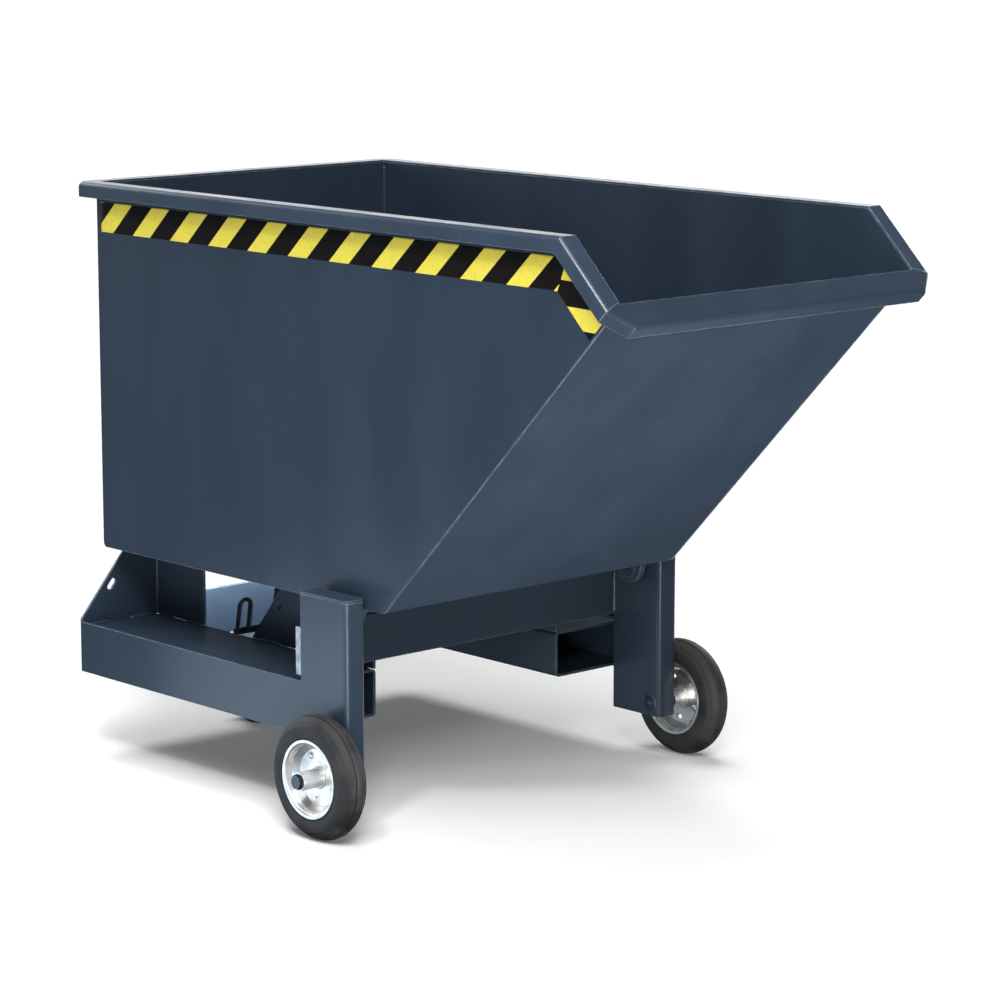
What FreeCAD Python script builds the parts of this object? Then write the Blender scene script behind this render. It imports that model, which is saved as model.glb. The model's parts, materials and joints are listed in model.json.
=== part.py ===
"""Tipping skip trolley: a sheet steel bin that tips forward on a wheeled chassis with fork pockets.

Millimetres, +X forward (the tipping side), +Y to the left, +Z up, ground at Z = 0.
X is counted from the rear face of the bin while modelling. On export everything moves back by the
middle of the overall length, so the origin is at the bottom centre of the whole trolley.
"""

import FreeCAD
import Part
import os
from math import asin, atan2, cos, pi, radians, sin, tan
from FreeCAD import Placement, Rotation, Vector

# Bin: folded wrap, two side walls and a rim all round
bin_width = 630.0
bin_sheet = 3.0
bin_bend = 6.0
floor_height = 356.0
floor_length = 732.0
slope_angle = 45.6
mouth_length = 132.0
rim_height = 976.0
rim_overhang = 30.0
rim_drop = 24.5
rim_sheet = 3.0
rim_bend = 4.0
rear_clip_share = 0.65
lip_overhang = 41.0
lip_clip = 34.0

# Hazard tape on the side walls
tape_width = 50.0
tape_thickness = 0.4
tape_below_rim = 9.0
tape_rear_margin = 12.0
tape_front_margin = 1.5

# Push handle on the rear wall
handle_below_rim = 96.0
handle_span = 420.0
handle_reach = 75.0
handle_tube = 27.0
handle_wall = 2.5
handle_bend = 40.0
handle_base_diameter = 64.0
handle_base_thickness = 5.0

# Side plates, each one sheet with the post folded from it
side_gap = 8.0
side_sheet = 5.0
side_bend = 5.0
post_width = 40.0
post_length = 112.0
post_rise = 20.0
post_below_axle = 22.0
post_cap_sheet = 4.0
skirt_bottom = 146.0
skirt_top = 232.0
chassis_tail = 5.0

# Fork pockets
pocket_width = 164.0
pocket_below_skirt = 8.0
pocket_sheet = 4.0
pocket_bend = 4.0

# Cross members
beam_thickness = 12.0
beam_depth = 77.0
beam_above_skirt = 9.0
rear_beam_depth = 91.0
rear_beam_sheet = 5.0
rear_beam_bend = 5.0
rear_seat_length = 150.0
rear_seat_lip = 22.0

# Bin supports on the pockets
support_sheet = 4.0
support_bend = 4.0
support_rest_gap = 0.3
rear_support_length = 135.0
rear_slant_angle = 50.0
rear_slant_land = 5.0
rear_slot_length = 22.0
rear_slot_width = 10.0
rear_slot_inset = 15.0
rear_slot_rise = 57.0
front_support_start = 260.0
front_slant_angle = 51.0
front_hole_diameter = 11.0
front_hole_inset = 17.0
front_hole_rise = 63.5

# Tipping pivot
pivot_setback = 90.0
pivot_drop = 24.0
pivot_diameter = 20.0
pivot_collar_diameter = 32.0
pivot_collar_thickness = 3.0
bush_wall = 3.0
lug_thickness = 12.0
lug_radius = 26.0
lug_top_width = 76.0

# Fixed wheels
wheel_diameter = 200.0
tyre_width = 50.0
tyre_shoulder_drop = 10.0
tyre_shoulder_inset = 7.0
tyre_bead_inset = 3.0
tyre_bead_rise = 6.0
tyre_groove_width = 2.4
tyre_groove_depth = 2.0
tyre_groove_offset = 8.0
wheel_seat_diameter = 115.0
wheel_flange_height = 5.0
wheel_sheet = 2.5
wheel_bend = 2.0
wheel_web_diameter = 92.0
wheel_cone_depth = 11.0
rivet_count = 5
rivet_turn = 47.0
rivet_diameter = 8.0
rivet_head_diameter = 12.0
rivet_head_height = 4.0
rivet_circle = 74.0
hub_diameter = 30.0
hub_wall = 2.5
hub_inner_reach = 30.0
hub_outer_reach = 43.5
axle_diameter = 20.0
axle_from_post_rear = 89.0
axle_head_diameter = 28.0
axle_head_height = 5.0
axle_spacer_diameter = 32.0
axle_spacer = 6.0
axle_nut_diameter = 24.0
axle_nut_height = 4.5
axle_tip = 1.0

# Swivel castor
castor_diameter = 125.0
castor_tyre_width = 38.0
castor_tyre_depth = 17.0
castor_shoulder = 4.0
castor_hub_length = 46.0
castor_hub_diameter = 30.0
castor_web = 12.0
castor_head_height = 35.0
castor_trail = 40.0
castor_axis_x = 57.0
castor_plate_length = 105.0
castor_plate_width = 85.0
castor_plate_sheet = 5.0
castor_bolt_spacing_x = 80.0
castor_bolt_spacing_y = 60.0
castor_bolt_diameter = 8.0
castor_bolt_flats = 13.0
castor_bolt_head = 5.5
castor_race_diameter = 62.0
castor_race_height = 9.0
castor_kingpin_diameter = 12.0
castor_kingpin_head = 4.0
castor_kingpin_head_diameter = 22.0
castor_fork_sheet = 3.0
castor_fork_bend = 3.0
castor_fork_half_length = 33.0
castor_fork_skirt = 16.0
castor_fork_eye = 15.0
castor_axle_diameter = 10.0
castor_axle_flats = 17.0
castor_axle_head = 6.5

# Bin latch: a cross shaft with a hook and a pull loop, drawn in the locked position
latch_x = 70.0
latch_shaft_rise = 20.0
latch_shaft_diameter = 12.0
latch_ear_sheet = 5.0
latch_ear_gap = 30.0
latch_ear_radius = 14.0
latch_release_angle = 10.0
hook_thickness = 10.0
hook_arm_width = 16.0
hook_hub_radius = 12.0
hook_nose_length = 18.0
hook_nose_depth = 12.0
loop_rod = 8.0
loop_width = 24.0
loop_height = 58.0
loop_from_centre = 74.0
striker_drop = 26.0
striker_diameter = 12.0
striker_cheek_sheet = 5.0
striker_cheek_gap = 38.0
striker_cheek_radius = 12.0

# Fits
running_clearance = 0.05
bolt_clearance = 0.5
side_play = 0.3
hook_play = 1.5

# Derived places
bin_half = bin_width / 2
bin_inner_half = bin_half - bin_sheet
post_inner = bin_half + side_gap
side_outer = post_inner + post_width
pocket_inner = side_outer - pocket_width
pocket_top = skirt_top - pocket_below_skirt
chassis_rear = -chassis_tail
slope_x = cos(radians(slope_angle))
slope_z = sin(radians(slope_angle))
lip_z = rim_height - mouth_length * slope_x
slope_length = (lip_z - floor_height) / slope_z
lip_x = floor_length + slope_length * slope_x
mouth_x = lip_x - mouth_length * slope_z
rim_web = rim_overhang + bin_sheet
rear_clip = rim_web * rear_clip_share
lip_web = lip_overhang + bin_sheet
handle_height = rim_height - handle_below_rim
front_most = lip_x + lip_overhang * slope_z - (rim_bend + rim_sheet) * (slope_x + slope_z - 1)
rear_most = -handle_reach - handle_tube / 2
pivot_x = floor_length - pivot_setback
pivot_z = floor_height - pivot_drop
post_rear = pivot_x - post_length / 2
post_front = post_rear + post_length
post_top = floor_height + post_rise
beam_rear = post_rear - beam_thickness
support_top = floor_height - support_rest_gap
axle_x = post_rear + axle_from_post_rear
axle_z = wheel_diameter / 2
wheel_middle = side_outer + axle_spacer + side_play + hub_inner_reach
castor_seat = castor_diameter + castor_head_height
castor_axle_x = castor_axis_x - castor_trail
castor_axle_z = castor_diameter / 2
seat_top = castor_seat + rear_beam_sheet
latch_z = seat_top + latch_shaft_rise
striker_z = floor_height - striker_drop
striker_x = latch_x - hook_arm_width / 2 - hook_play - striker_diameter / 2
overall_middle = (front_most + rear_most) / 2

normals = {"xz": Vector(0, 1, 0), "yz": Vector(1, 0, 0), "xy": Vector(0, 0, 1)}
along_x = Vector(1, 0, 0)
along_y = Vector(0, 1, 0)
along_z = Vector(0, 0, 1)


def in_plane(plane, u, v, level):
    """Point with in-plane coordinates u and v, and level along the plane's normal."""
    if plane == "xz":
        return Vector(u, level, v)
    if plane == "yz":
        return Vector(level, u, v)
    return Vector(u, v, level)


def box(x0, x1, y0, y1, z0, z1):
    """Block between two opposite corners."""
    return Part.makeBox(x1 - x0, y1 - y0, z1 - z0, Vector(x0, y0, z0))


def rod(diameter, start, axis, length):
    """Round bar from a start point along an axis."""
    return Part.makeCylinder(diameter / 2, length, start, axis)


def ring(outer, inner, start, axis, length):
    """Round sleeve, washer or collar."""
    return rod(outer, start, axis, length).cut(rod(inner, start, axis, length))


def outline(steps, place):
    """Closed wire from corner points; a step of two points is an arc through the first to the second."""
    here = start = place(*steps[0])
    edges = []
    for step in steps[1:]:
        if isinstance(step[0], tuple):
            through, there = place(*step[0]), place(*step[1])
            edges.append(Part.Arc(here, through, there).toShape())
        else:
            there = place(*step)
            edges.append(Part.makeLine(here, there))
        here = there
    if isinstance(steps[-1][0], tuple) and steps[-1][1] == steps[0]:
        return Part.Wire(edges)
    return Part.Wire(edges + [Part.makeLine(here, start)])


def plate(steps, plane, low, high):
    """Flat plate with the given outline, from level low to level high."""
    face = Part.Face(outline(steps, lambda u, v: in_plane(plane, u, v, low)))
    return face.extrude(normals[plane] * (high - low))


def heading(start, end):
    """Direction from one point of a section to another, as an angle."""
    return atan2(end[1] - start[1], end[0] - start[0])


def moved(point, way, forward, left):
    """Point of a section moved forward along a heading and to its left."""
    return (point[0] + forward * cos(way) - left * sin(way), point[1] + forward * sin(way) + left * cos(way))


def bend_arcs(points, sheet, bend):
    """Start, middle and end of the arc at each bend: on the reference face, and on the face to its left."""
    near, far = [], []
    for before, corner, after in zip(points, points[1:], points[2:]):
        way_in = heading(before, corner)
        turn = (heading(corner, after) - way_in + pi) % (2 * pi) - pi
        radius = bend + sheet if turn > 0 else -bend
        centre = moved(corner, way_in, -radius * tan(turn / 2), radius)
        ways = (way_in, way_in + turn / 2, way_in + turn)
        near.append([moved(centre, way, 0, -radius) for way in ways])
        far.append([moved(centre, way, 0, sheet - radius) for way in ways])
    return near, far


def arc_steps(arcs):
    """Outline steps through a row of arcs."""
    return [step for first, middle, last in arcs for step in (first, (middle, last))]


def folded_steps(points, sheet, bend):
    """Closed section of a bent sheet whose reference face runs through the points, sheet on the left."""
    near, far = bend_arcs(points, sheet, bend)
    back = [arc[::-1] for arc in reversed(far)]
    end_left = moved(points[-1], heading(points[-2], points[-1]), 0, sheet)
    start_left = moved(points[0], heading(points[0], points[1]), 0, sheet)
    return [points[0]] + arc_steps(near) + [points[-1], end_left] + arc_steps(back) + [start_left]


def folded(points, plane, low, high, sheet, bend):
    """Bent sheet part: a folded section extruded between two levels."""
    return plate(folded_steps(points, sheet, bend), plane, low, high)


def beyond(point, normal):
    """Large block that fills the side of a plane to which its normal points."""
    reach = 4 * (floor_length + slope_length + bin_width)
    block = Part.makeBox(reach, reach, reach, Vector(-reach / 2, -reach / 2, 0))
    block.Placement = Placement(point, Rotation(along_z, normal))
    return block


def hexagon(flats, centre, axis, length):
    """Hexagon bar along Y or Z."""
    corner = flats / 3 ** 0.5
    turns = [pi / 6 + i * pi / 3 for i in range(6)]
    plane = "xz" if axis == along_y else "xy"
    u, v, level = (centre.x, centre.z, centre.y) if plane == "xz" else (centre.x, centre.y, centre.z)
    points = [(u + corner * cos(t), v + corner * sin(t)) for t in turns]
    return plate(points, plane, level, level + length)


def spun(steps, centre):
    """Solid of revolution about a line along Y; the outline's coordinates are (axial, radial)."""
    face = Part.Face(outline(steps, lambda w, r: Vector(centre.x, centre.y + w, centre.z + r)))
    return face.revolve(centre, along_y, 360)


def slot(centre, angle, length, width, plane, low, high):
    """Straight slot with round ends, its length turned by an angle in the plane."""
    half = width / 2
    run = length / 2 - half
    places = ((-run, -half), (run, -half), (run + half, 0), (run, half), (-run, half), (-run - half, 0))
    first, second, bow, third, fourth, far_bow = [moved(centre, radians(angle), *place) for place in places]
    return plate([first, second, (bow, third), fourth, (far_bow, first)], plane, low, high)


def mirrored(shape):
    """The same piece on the left side of the trolley."""
    return shape.mirror(Vector(0, 0, 0), along_y)


def group(*shapes):
    """Separate solids kept together as one piece of the list."""
    return Part.makeCompound(list(shapes))


def both_sides(parts, name, shape):
    """Add a right-hand piece and its mirrored left-hand twin."""
    parts["right_" + name] = shape
    parts["left_" + name] = mirrored(shape)


def bin_panels(parts):
    """Folded wrap (rear wall, floor and chute) and the two side walls."""
    mouth_back = rim_sheet
    slope_end = (lip_x - slope_x * mouth_back, lip_z - slope_z * mouth_back)
    top = rim_height - rim_sheet
    path = [(0, top), (0, floor_height), (floor_length, floor_height), slope_end]
    wrap = folded(path, "xz", -bin_inner_half, bin_inner_half, bin_sheet, bin_bend)
    parts["bin_wrap"] = wrap
    near, _ = bend_arcs(path, bin_sheet, bin_bend)
    mouth_top = mouth_x - mouth_back * tan(radians((90 - slope_angle) / 2))
    steps = [(0, top)] + arc_steps(near) + [slope_end, (mouth_top, top)]
    both_sides(parts, "side_wall", plate(steps, "xz", -bin_half, -bin_inner_half))


def rim_run(start, end, before, after, up, web):
    """Length of rim angle with its bend along an edge, mitred to the lengths before and after it."""
    way = (end - start).normalize()
    outward = way.cross(up)
    foot = start - way * web
    steps = folded_steps([(0, -rim_drop), (0, 0), (-web, 0)], rim_sheet, rim_bend)
    face = Part.Face(outline(steps, lambda a, b: foot + outward * a + up * b))
    angle = face.extrude(way * ((end - start).Length + 2 * web))
    return angle.cut(beyond(start, (before + way) * -1)).cut(beyond(end, way + after))


def bin_rim(parts):
    """Rim of mitred angle: rear, sides with the slanted mouth legs, front lip, and clipped corners."""
    down_mouth = Vector(slope_z, 0, -slope_x)
    out_of_mouth = Vector(slope_x, 0, slope_z)
    side = bin_half + rim_overhang
    mouth = Vector(mouth_x, -side, rim_height)
    tip = mouth + down_mouth * (mouth_length + lip_overhang)
    edge = [Vector(-rim_overhang, 0, rim_height), Vector(-rim_overhang, rear_clip - side, rim_height),
            Vector(rear_clip - rim_overhang, -side, rim_height), mouth, tip - down_mouth * lip_clip,
            tip + along_y * lip_clip, tip + along_y * side]
    ways = [(end - start).normalize() for start, end in zip(edge, edge[1:])]
    ups = [along_z] * 3 + [out_of_mouth] * 3
    webs = (rim_web, 2 * rim_web, rim_web, rim_web, 2 * lip_web, lip_web)
    runs = zip(edge, edge[1:], ways[:1] + ways, ways[1:] + ways[-1:], ups, webs)
    rear, rear_corner, straight, leg, lip_corner, lip = [rim_run(*run) for run in runs]
    both_sides(parts, "rim", straight.fuse(leg).removeSplitter())

    rear_inside = Vector(bin_sheet, -bin_inner_half, rim_height)
    lip_inside = Vector(lip_x, -bin_inner_half, lip_z) - down_mouth * bin_sheet
    for name, length, corner, inside, inward in (("rear_rim", rear, rear_corner, rear_inside, along_x),
                                                 ("front_lip", lip, lip_corner, lip_inside, down_mouth * -1)):
        corner = corner.cut(beyond(inside, inward).common(beyond(inside, along_y)))
        half = length.fuse(corner)
        parts[name] = half.fuse(mirrored(half)).removeSplitter()


def hazard_tape(parts):
    """Tape under the rim of a side wall: one length along the top, one down the mouth."""
    top = rim_height - rim_drop - tape_below_rim
    low = top - tape_width
    inset = rim_drop + tape_below_rim
    turn = tan(radians((90 - slope_angle) / 2))
    outer_corner = mouth_x - inset * turn
    inner_corner = mouth_x - (inset + tape_width) * turn
    run = mouth_length - inset * turn - tape_front_margin
    inner_run = mouth_length - (inset + tape_width) * turn - tape_front_margin
    level = [(tape_rear_margin, low), (inner_corner, low), (outer_corner, top), (tape_rear_margin, top)]
    slanted = [(inner_corner, low), (inner_corner + inner_run * slope_z, low - inner_run * slope_x),
               (outer_corner + run * slope_z, top - run * slope_x), (outer_corner, top)]
    strips = [plate(steps, "xz", -bin_half - tape_thickness, -bin_half) for steps in (level, slanted)]
    both_sides(parts, "hazard_tape", group(*strips))


def push_handle(parts):
    """Bent tube handle behind the rear wall, on two round base plates."""
    half = handle_span / 2
    back = -handle_reach
    base = -handle_base_thickness
    turn = handle_bend * (1 - cos(pi / 4))

    def tube(diameter):
        def spot(x, y):
            return Vector(x, y, handle_height)

        edges = [
            Part.makeLine(spot(base, -half), spot(back + handle_bend, -half)),
            Part.Arc(spot(back + handle_bend, -half), spot(back + turn, -half + turn),
                     spot(back, -half + handle_bend)).toShape(),
            Part.makeLine(spot(back, -half + handle_bend), spot(back, half - handle_bend)),
            Part.Arc(spot(back, half - handle_bend), spot(back + turn, half - turn),
                     spot(back + handle_bend, half)).toShape(),
            Part.makeLine(spot(back + handle_bend, half), spot(base, half)),
        ]
        section = Part.Wire(Part.makeCircle(diameter / 2, spot(base, -half), along_x))
        return Part.Wire(edges).makePipeShell([section], True, False)

    parts["push_handle"] = tube(handle_tube).cut(tube(handle_tube - 2 * handle_wall))
    bases = [rod(handle_base_diameter, Vector(base, y, handle_height), along_x, handle_base_thickness)
             for y in (-half, half)]
    parts["handle_bases"] = group(*bases)


def side_plates(parts):
    """Right and left side plates: skirt and post in one sheet, the post folded to a channel."""
    post_bottom = axle_z - post_below_axle
    path = [(post_rear, -side_outer), (post_front, -side_outer), (post_front, -post_inner),
            (post_rear, -post_inner)]
    channel = folded(path, "xy", post_bottom, post_top - post_cap_sheet, side_sheet, side_bend)
    skirt = box(chassis_rear, post_rear, -side_outer, -side_outer + side_sheet, skirt_bottom, skirt_top)
    shape = channel.fuse(skirt).removeSplitter()
    shape = shape.cut(rod(axle_diameter, Vector(axle_x, -side_outer, axle_z), along_y, post_width))
    pin_start = Vector(pivot_x, -side_outer + side_sheet, pivot_z)
    shape = shape.cut(rod(pivot_diameter, pin_start, along_y, post_width))
    both_sides(parts, "side_plate", shape)

    radius = side_bend + side_sheet
    arc = radius * (1 - cos(pi / 4))
    steps = [(post_rear, -side_outer), (post_front - radius, -side_outer),
             ((post_front - arc, -side_outer + arc), (post_front, -side_outer + radius)),
             (post_front, -post_inner - radius),
             ((post_front - arc, -post_inner - arc), (post_front - radius, -post_inner)),
             (post_rear, -post_inner)]
    both_sides(parts, "post_cap", plate(steps, "xy", post_top - post_cap_sheet, post_top))


def fork_pockets(parts):
    """Folded channels that close the skirts to box pockets for the forks of a truck."""
    inside = -side_outer + side_sheet
    path = [(inside, skirt_bottom), (-pocket_inner, skirt_bottom), (-pocket_inner, pocket_top),
            (inside, pocket_top)]
    both_sides(parts, "fork_pocket", folded(path, "yz", chassis_rear, beam_rear, pocket_sheet, pocket_bend))


def cross_members(parts):
    """Front flat bar behind the posts and rear channel whose flange carries the castor."""
    low = skirt_top + beam_above_skirt
    parts["front_beam"] = box(beam_rear, post_rear, -side_outer, side_outer, low, low + beam_depth)

    seat_end = chassis_rear + rear_seat_length
    path = [(chassis_rear, castor_seat + rear_beam_depth), (chassis_rear, castor_seat),
            (seat_end, castor_seat), (seat_end, castor_seat + rear_seat_lip)]
    rear = folded(path, "xz", -pocket_inner, pocket_inner, rear_beam_sheet, rear_beam_bend)
    for x, y in castor_bolt_places():
        rear = rear.cut(rod(castor_bolt_diameter + 2 * bolt_clearance, Vector(x, y, castor_seat), along_z,
                            rear_beam_sheet))
    parts["rear_beam"] = rear


def bin_supports(parts):
    """Upright plates on the pockets under the bin floor, with slanted outer and rear edges."""
    front_face = chassis_rear + support_sheet
    path = [(chassis_rear + rear_support_length, -pocket_inner), (chassis_rear, -pocket_inner),
            (chassis_rear, -side_outer)]
    rear = folded(path, "xy", pocket_top, support_top, support_sheet, support_bend)
    rear = rear.cut(box(chassis_rear, front_face, -side_outer, -side_outer + side_sheet,
                        pocket_top, skirt_top))
    slant = tan(radians(rear_slant_angle))
    corner_z = skirt_top + rear_slant_land
    top_y = -side_outer + (support_top - corner_z) / slant
    rear = rear.cut(plate([(-side_outer, corner_z), (top_y, support_top), (-side_outer, support_top)],
                          "yz", chassis_rear, front_face))
    slot_z = skirt_top + rear_slot_rise
    slot_y = -side_outer + (slot_z - corner_z) / slant + rear_slot_inset / sin(radians(rear_slant_angle))
    rear = rear.cut(slot((slot_y, slot_z), rear_slant_angle, rear_slot_length, rear_slot_width,
                         "yz", chassis_rear, front_face))
    both_sides(parts, "rear_support", rear)

    lean = tan(radians(front_slant_angle))
    top_x = front_support_start + (support_top - pocket_top) / lean
    front = plate([(front_support_start, pocket_top), (beam_rear, pocket_top), (beam_rear, support_top),
                   (top_x, support_top)], "xz", -pocket_inner - support_sheet, -pocket_inner)
    hole_x = front_support_start + front_hole_rise / lean + front_hole_inset / sin(radians(front_slant_angle))
    front = front.cut(rod(front_hole_diameter, Vector(hole_x, -pocket_inner - support_sheet,
                                                      pocket_top + front_hole_rise), along_y, support_sheet))
    both_sides(parts, "front_support", front)


def tipping_pivot(parts):
    """Pins welded into the posts, and the bin's lugs with their bushes."""
    start = -side_outer + side_sheet
    lug_outer = -bin_half
    lug_inner = lug_outer + lug_thickness
    collar = lug_inner + side_play
    end = collar + pivot_collar_thickness
    pin = rod(pivot_diameter, Vector(pivot_x, start, pivot_z), along_y, end - start)
    spacer = ring(pivot_collar_diameter, pivot_diameter, Vector(pivot_x, -post_inner, pivot_z), along_y,
                  side_gap - side_play)
    keeper = ring(pivot_collar_diameter, pivot_diameter, Vector(pivot_x, collar, pivot_z), along_y,
                  pivot_collar_thickness)
    both_sides(parts, "pivot_pin", group(pin, spacer, keeper))

    bush_outer = pivot_diameter + 2 * running_clearance + 2 * bush_wall
    half = lug_top_width / 2
    bow = ((pivot_x, pivot_z - lug_radius), (pivot_x + lug_radius, pivot_z))
    steps = [(pivot_x - lug_radius, pivot_z), bow, (pivot_x + half, floor_height),
             (pivot_x - half, floor_height)]
    lug = plate(steps, "xz", lug_outer, lug_inner)
    lug = lug.cut(rod(bush_outer, Vector(pivot_x, lug_outer, pivot_z), along_y, lug_thickness))
    both_sides(parts, "pivot_lug", lug)
    bush = ring(bush_outer, pivot_diameter + 2 * running_clearance, Vector(pivot_x, lug_outer, pivot_z),
                along_y, lug_thickness)
    both_sides(parts, "pivot_bush", bush)


def wheel_tyre(centre):
    """Solid rubber tyre with a round shoulder and two tread grooves."""
    outer = wheel_diameter / 2
    seat = wheel_seat_diameter / 2
    half = tyre_width / 2
    bead = half - tyre_bead_inset
    side = seat + tyre_bead_rise
    shoulder = outer - tyre_shoulder_drop
    edge = half - tyre_shoulder_inset
    waist = (side + shoulder) / 2
    steps = [(-bead + wheel_bend, seat), (bead - wheel_bend, seat), (bead, seat + wheel_bend), (bead, side),
             ((half, waist), (edge, shoulder)), ((0, outer), (-edge, shoulder)),
             ((-half, waist), (-bead, side)), (-bead, seat + wheel_bend)]
    tyre = spun(steps, centre)
    for w in (-tyre_groove_offset, tyre_groove_offset):
        low = w - tyre_groove_width / 2
        high = w + tyre_groove_width / 2
        floor = outer - tyre_shoulder_drop * (w / edge) ** 2 - tyre_groove_depth
        tyre = tyre.cut(spun([(low, floor), (high, floor), (high, outer), (low, outer)], centre))
    return tyre


def wheel_discs(centre):
    """Two pressed discs back to back, each with a web, a cone, a tyre seat and a flange."""
    seat = wheel_seat_diameter / 2 - running_clearance
    bead = tyre_width / 2 - tyre_bead_inset + running_clearance
    path = [(hub_diameter / 2, 0), (wheel_web_diameter / 2, 0), (seat, wheel_cone_depth), (seat, bead),
            (seat + wheel_flange_height, bead)]
    steps = folded_steps(path, wheel_sheet, wheel_bend)

    def swapped(step, sign):
        if isinstance(step[0], tuple):
            return tuple((sign * w, r) for r, w in step)
        return (sign * step[1], step[0])

    discs = [spun([swapped(step, sign) for step in steps], centre) for sign in (1, -1)]
    for x, z in rivet_places(centre):
        cutter = rod(rivet_diameter, Vector(x, centre.y - tyre_width, z), along_y, 2 * tyre_width)
        discs = [disc.cut(cutter) for disc in discs]
    return group(*discs)


def rivet_places(centre):
    """Rivet centres on their circle about the axle."""
    turns = [radians(rivet_turn) + 2 * pi * i / rivet_count for i in range(rivet_count)]
    return [(centre.x + rivet_circle / 2 * cos(t), centre.z + rivet_circle / 2 * sin(t)) for t in turns]


def wheel_rivets(centre):
    """Rivets that hold the two discs together, a flat head on each face."""
    rivets = []
    for x, z in rivet_places(centre):
        shank = rod(rivet_diameter, Vector(x, centre.y - wheel_sheet, z), along_y, 2 * wheel_sheet)
        outer = rod(rivet_head_diameter, Vector(x, centre.y + wheel_sheet, z), along_y, rivet_head_height)
        inner = rod(rivet_head_diameter, Vector(x, centre.y - wheel_sheet - rivet_head_height, z), along_y,
                    rivet_head_height)
        rivets.append(shank.fuse([outer, inner]))
    return group(*rivets)


def domed_head(diameter, height, centre):
    """Low round bolt head along Y, its dome part of a ball."""
    r = diameter / 2
    ball = (r ** 2 + height ** 2) / (2 * height)
    half_turn = asin(r / ball) / 2
    crown = (height - ball + ball * cos(half_turn), ball * sin(half_turn))
    return spun([(0, 0), (0, r), (crown, (height, 0))], centre)


def fixed_wheels(parts):
    """Two fixed wheels on axle bolts through the posts."""
    centre = Vector(axle_x, -wheel_middle, axle_z)
    hub_bore = hub_diameter - 2 * hub_wall
    hub_start = Vector(axle_x, -wheel_middle - hub_outer_reach, axle_z)
    hub_length = hub_inner_reach + hub_outer_reach
    both_sides(parts, "tyre", wheel_tyre(centre))
    both_sides(parts, "wheel_discs", wheel_discs(centre))
    both_sides(parts, "wheel_rivets", wheel_rivets(centre))
    both_sides(parts, "hub", ring(hub_diameter, hub_bore, hub_start, along_y, hub_length))
    both_sides(parts, "hub_bearing", ring(hub_bore, axle_diameter + 2 * running_clearance, hub_start,
                                          along_y, hub_length))

    nut_y = hub_start.y - side_play - axle_nut_height
    tip = Vector(axle_x, nut_y - axle_tip, axle_z)
    shank = rod(axle_diameter, tip, along_y, -post_inner - tip.y)
    head = domed_head(axle_head_diameter, axle_head_height, Vector(axle_x, -post_inner, axle_z))
    both_sides(parts, "axle_bolt", shank.fuse(head))
    spacer = ring(axle_spacer_diameter, axle_diameter, Vector(axle_x, -side_outer - axle_spacer, axle_z),
                  along_y, axle_spacer)
    nut = ring(axle_nut_diameter, axle_diameter, Vector(axle_x, nut_y, axle_z), along_y, axle_nut_height)
    both_sides(parts, "axle_nut", group(spacer, nut))


def castor_bolt_places():
    """Bolt centres of the castor's mounting plate."""
    dx = castor_bolt_spacing_x / 2
    dy = castor_bolt_spacing_y / 2
    return [(castor_axis_x + sx * dx, sy * dy) for sx in (-1, 1) for sy in (-1, 1)]


def castor_mount(parts):
    """Mounting plate with swivel race, kingpin and bolts, all fixed to the rear beam."""
    plate_low = castor_seat - castor_plate_sheet
    race_low = plate_low - castor_race_height
    crown_low = race_low - castor_fork_sheet
    half_x = castor_plate_length / 2
    half_y = castor_plate_width / 2
    top = box(castor_axis_x - half_x, castor_axis_x + half_x, -half_y, half_y, plate_low, castor_seat)
    hole = castor_bolt_diameter + 2 * bolt_clearance
    for x, y in castor_bolt_places():
        top = top.cut(rod(hole, Vector(x, y, plate_low), along_z, castor_plate_sheet))
    middle = Vector(castor_axis_x, 0, plate_low)
    parts["castor_plate"] = top.cut(rod(castor_kingpin_diameter, middle, along_z, castor_plate_sheet))
    race_start = Vector(castor_axis_x, 0, race_low + side_play)
    parts["castor_race"] = ring(castor_race_diameter, castor_kingpin_diameter, race_start, along_z,
                                castor_race_height - side_play)
    head_top = crown_low - side_play
    head_start = Vector(castor_axis_x, 0, head_top - castor_kingpin_head)
    head = rod(castor_kingpin_head_diameter, head_start, along_z, castor_kingpin_head)
    pin = rod(castor_kingpin_diameter, Vector(castor_axis_x, 0, head_top), along_z, castor_seat - head_top)
    parts["castor_kingpin"] = pin.fuse(head)

    bolts = []
    for x, y in castor_bolt_places():
        shank = rod(castor_bolt_diameter, Vector(x, y, plate_low), along_z,
                    seat_top + castor_bolt_head - plate_low)
        head_low = plate_low - castor_bolt_head
        head = hexagon(castor_bolt_flats, Vector(x, y, head_low), along_z, castor_bolt_head)
        nut = hexagon(castor_bolt_flats, Vector(x, y, seat_top), along_z, castor_bolt_head)
        nut = nut.cut(rod(castor_bolt_diameter, Vector(x, y, seat_top), along_z, castor_bolt_head))
        bolts += [shank.fuse(head), nut]
    parts["castor_bolts"] = group(*bolts)


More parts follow.
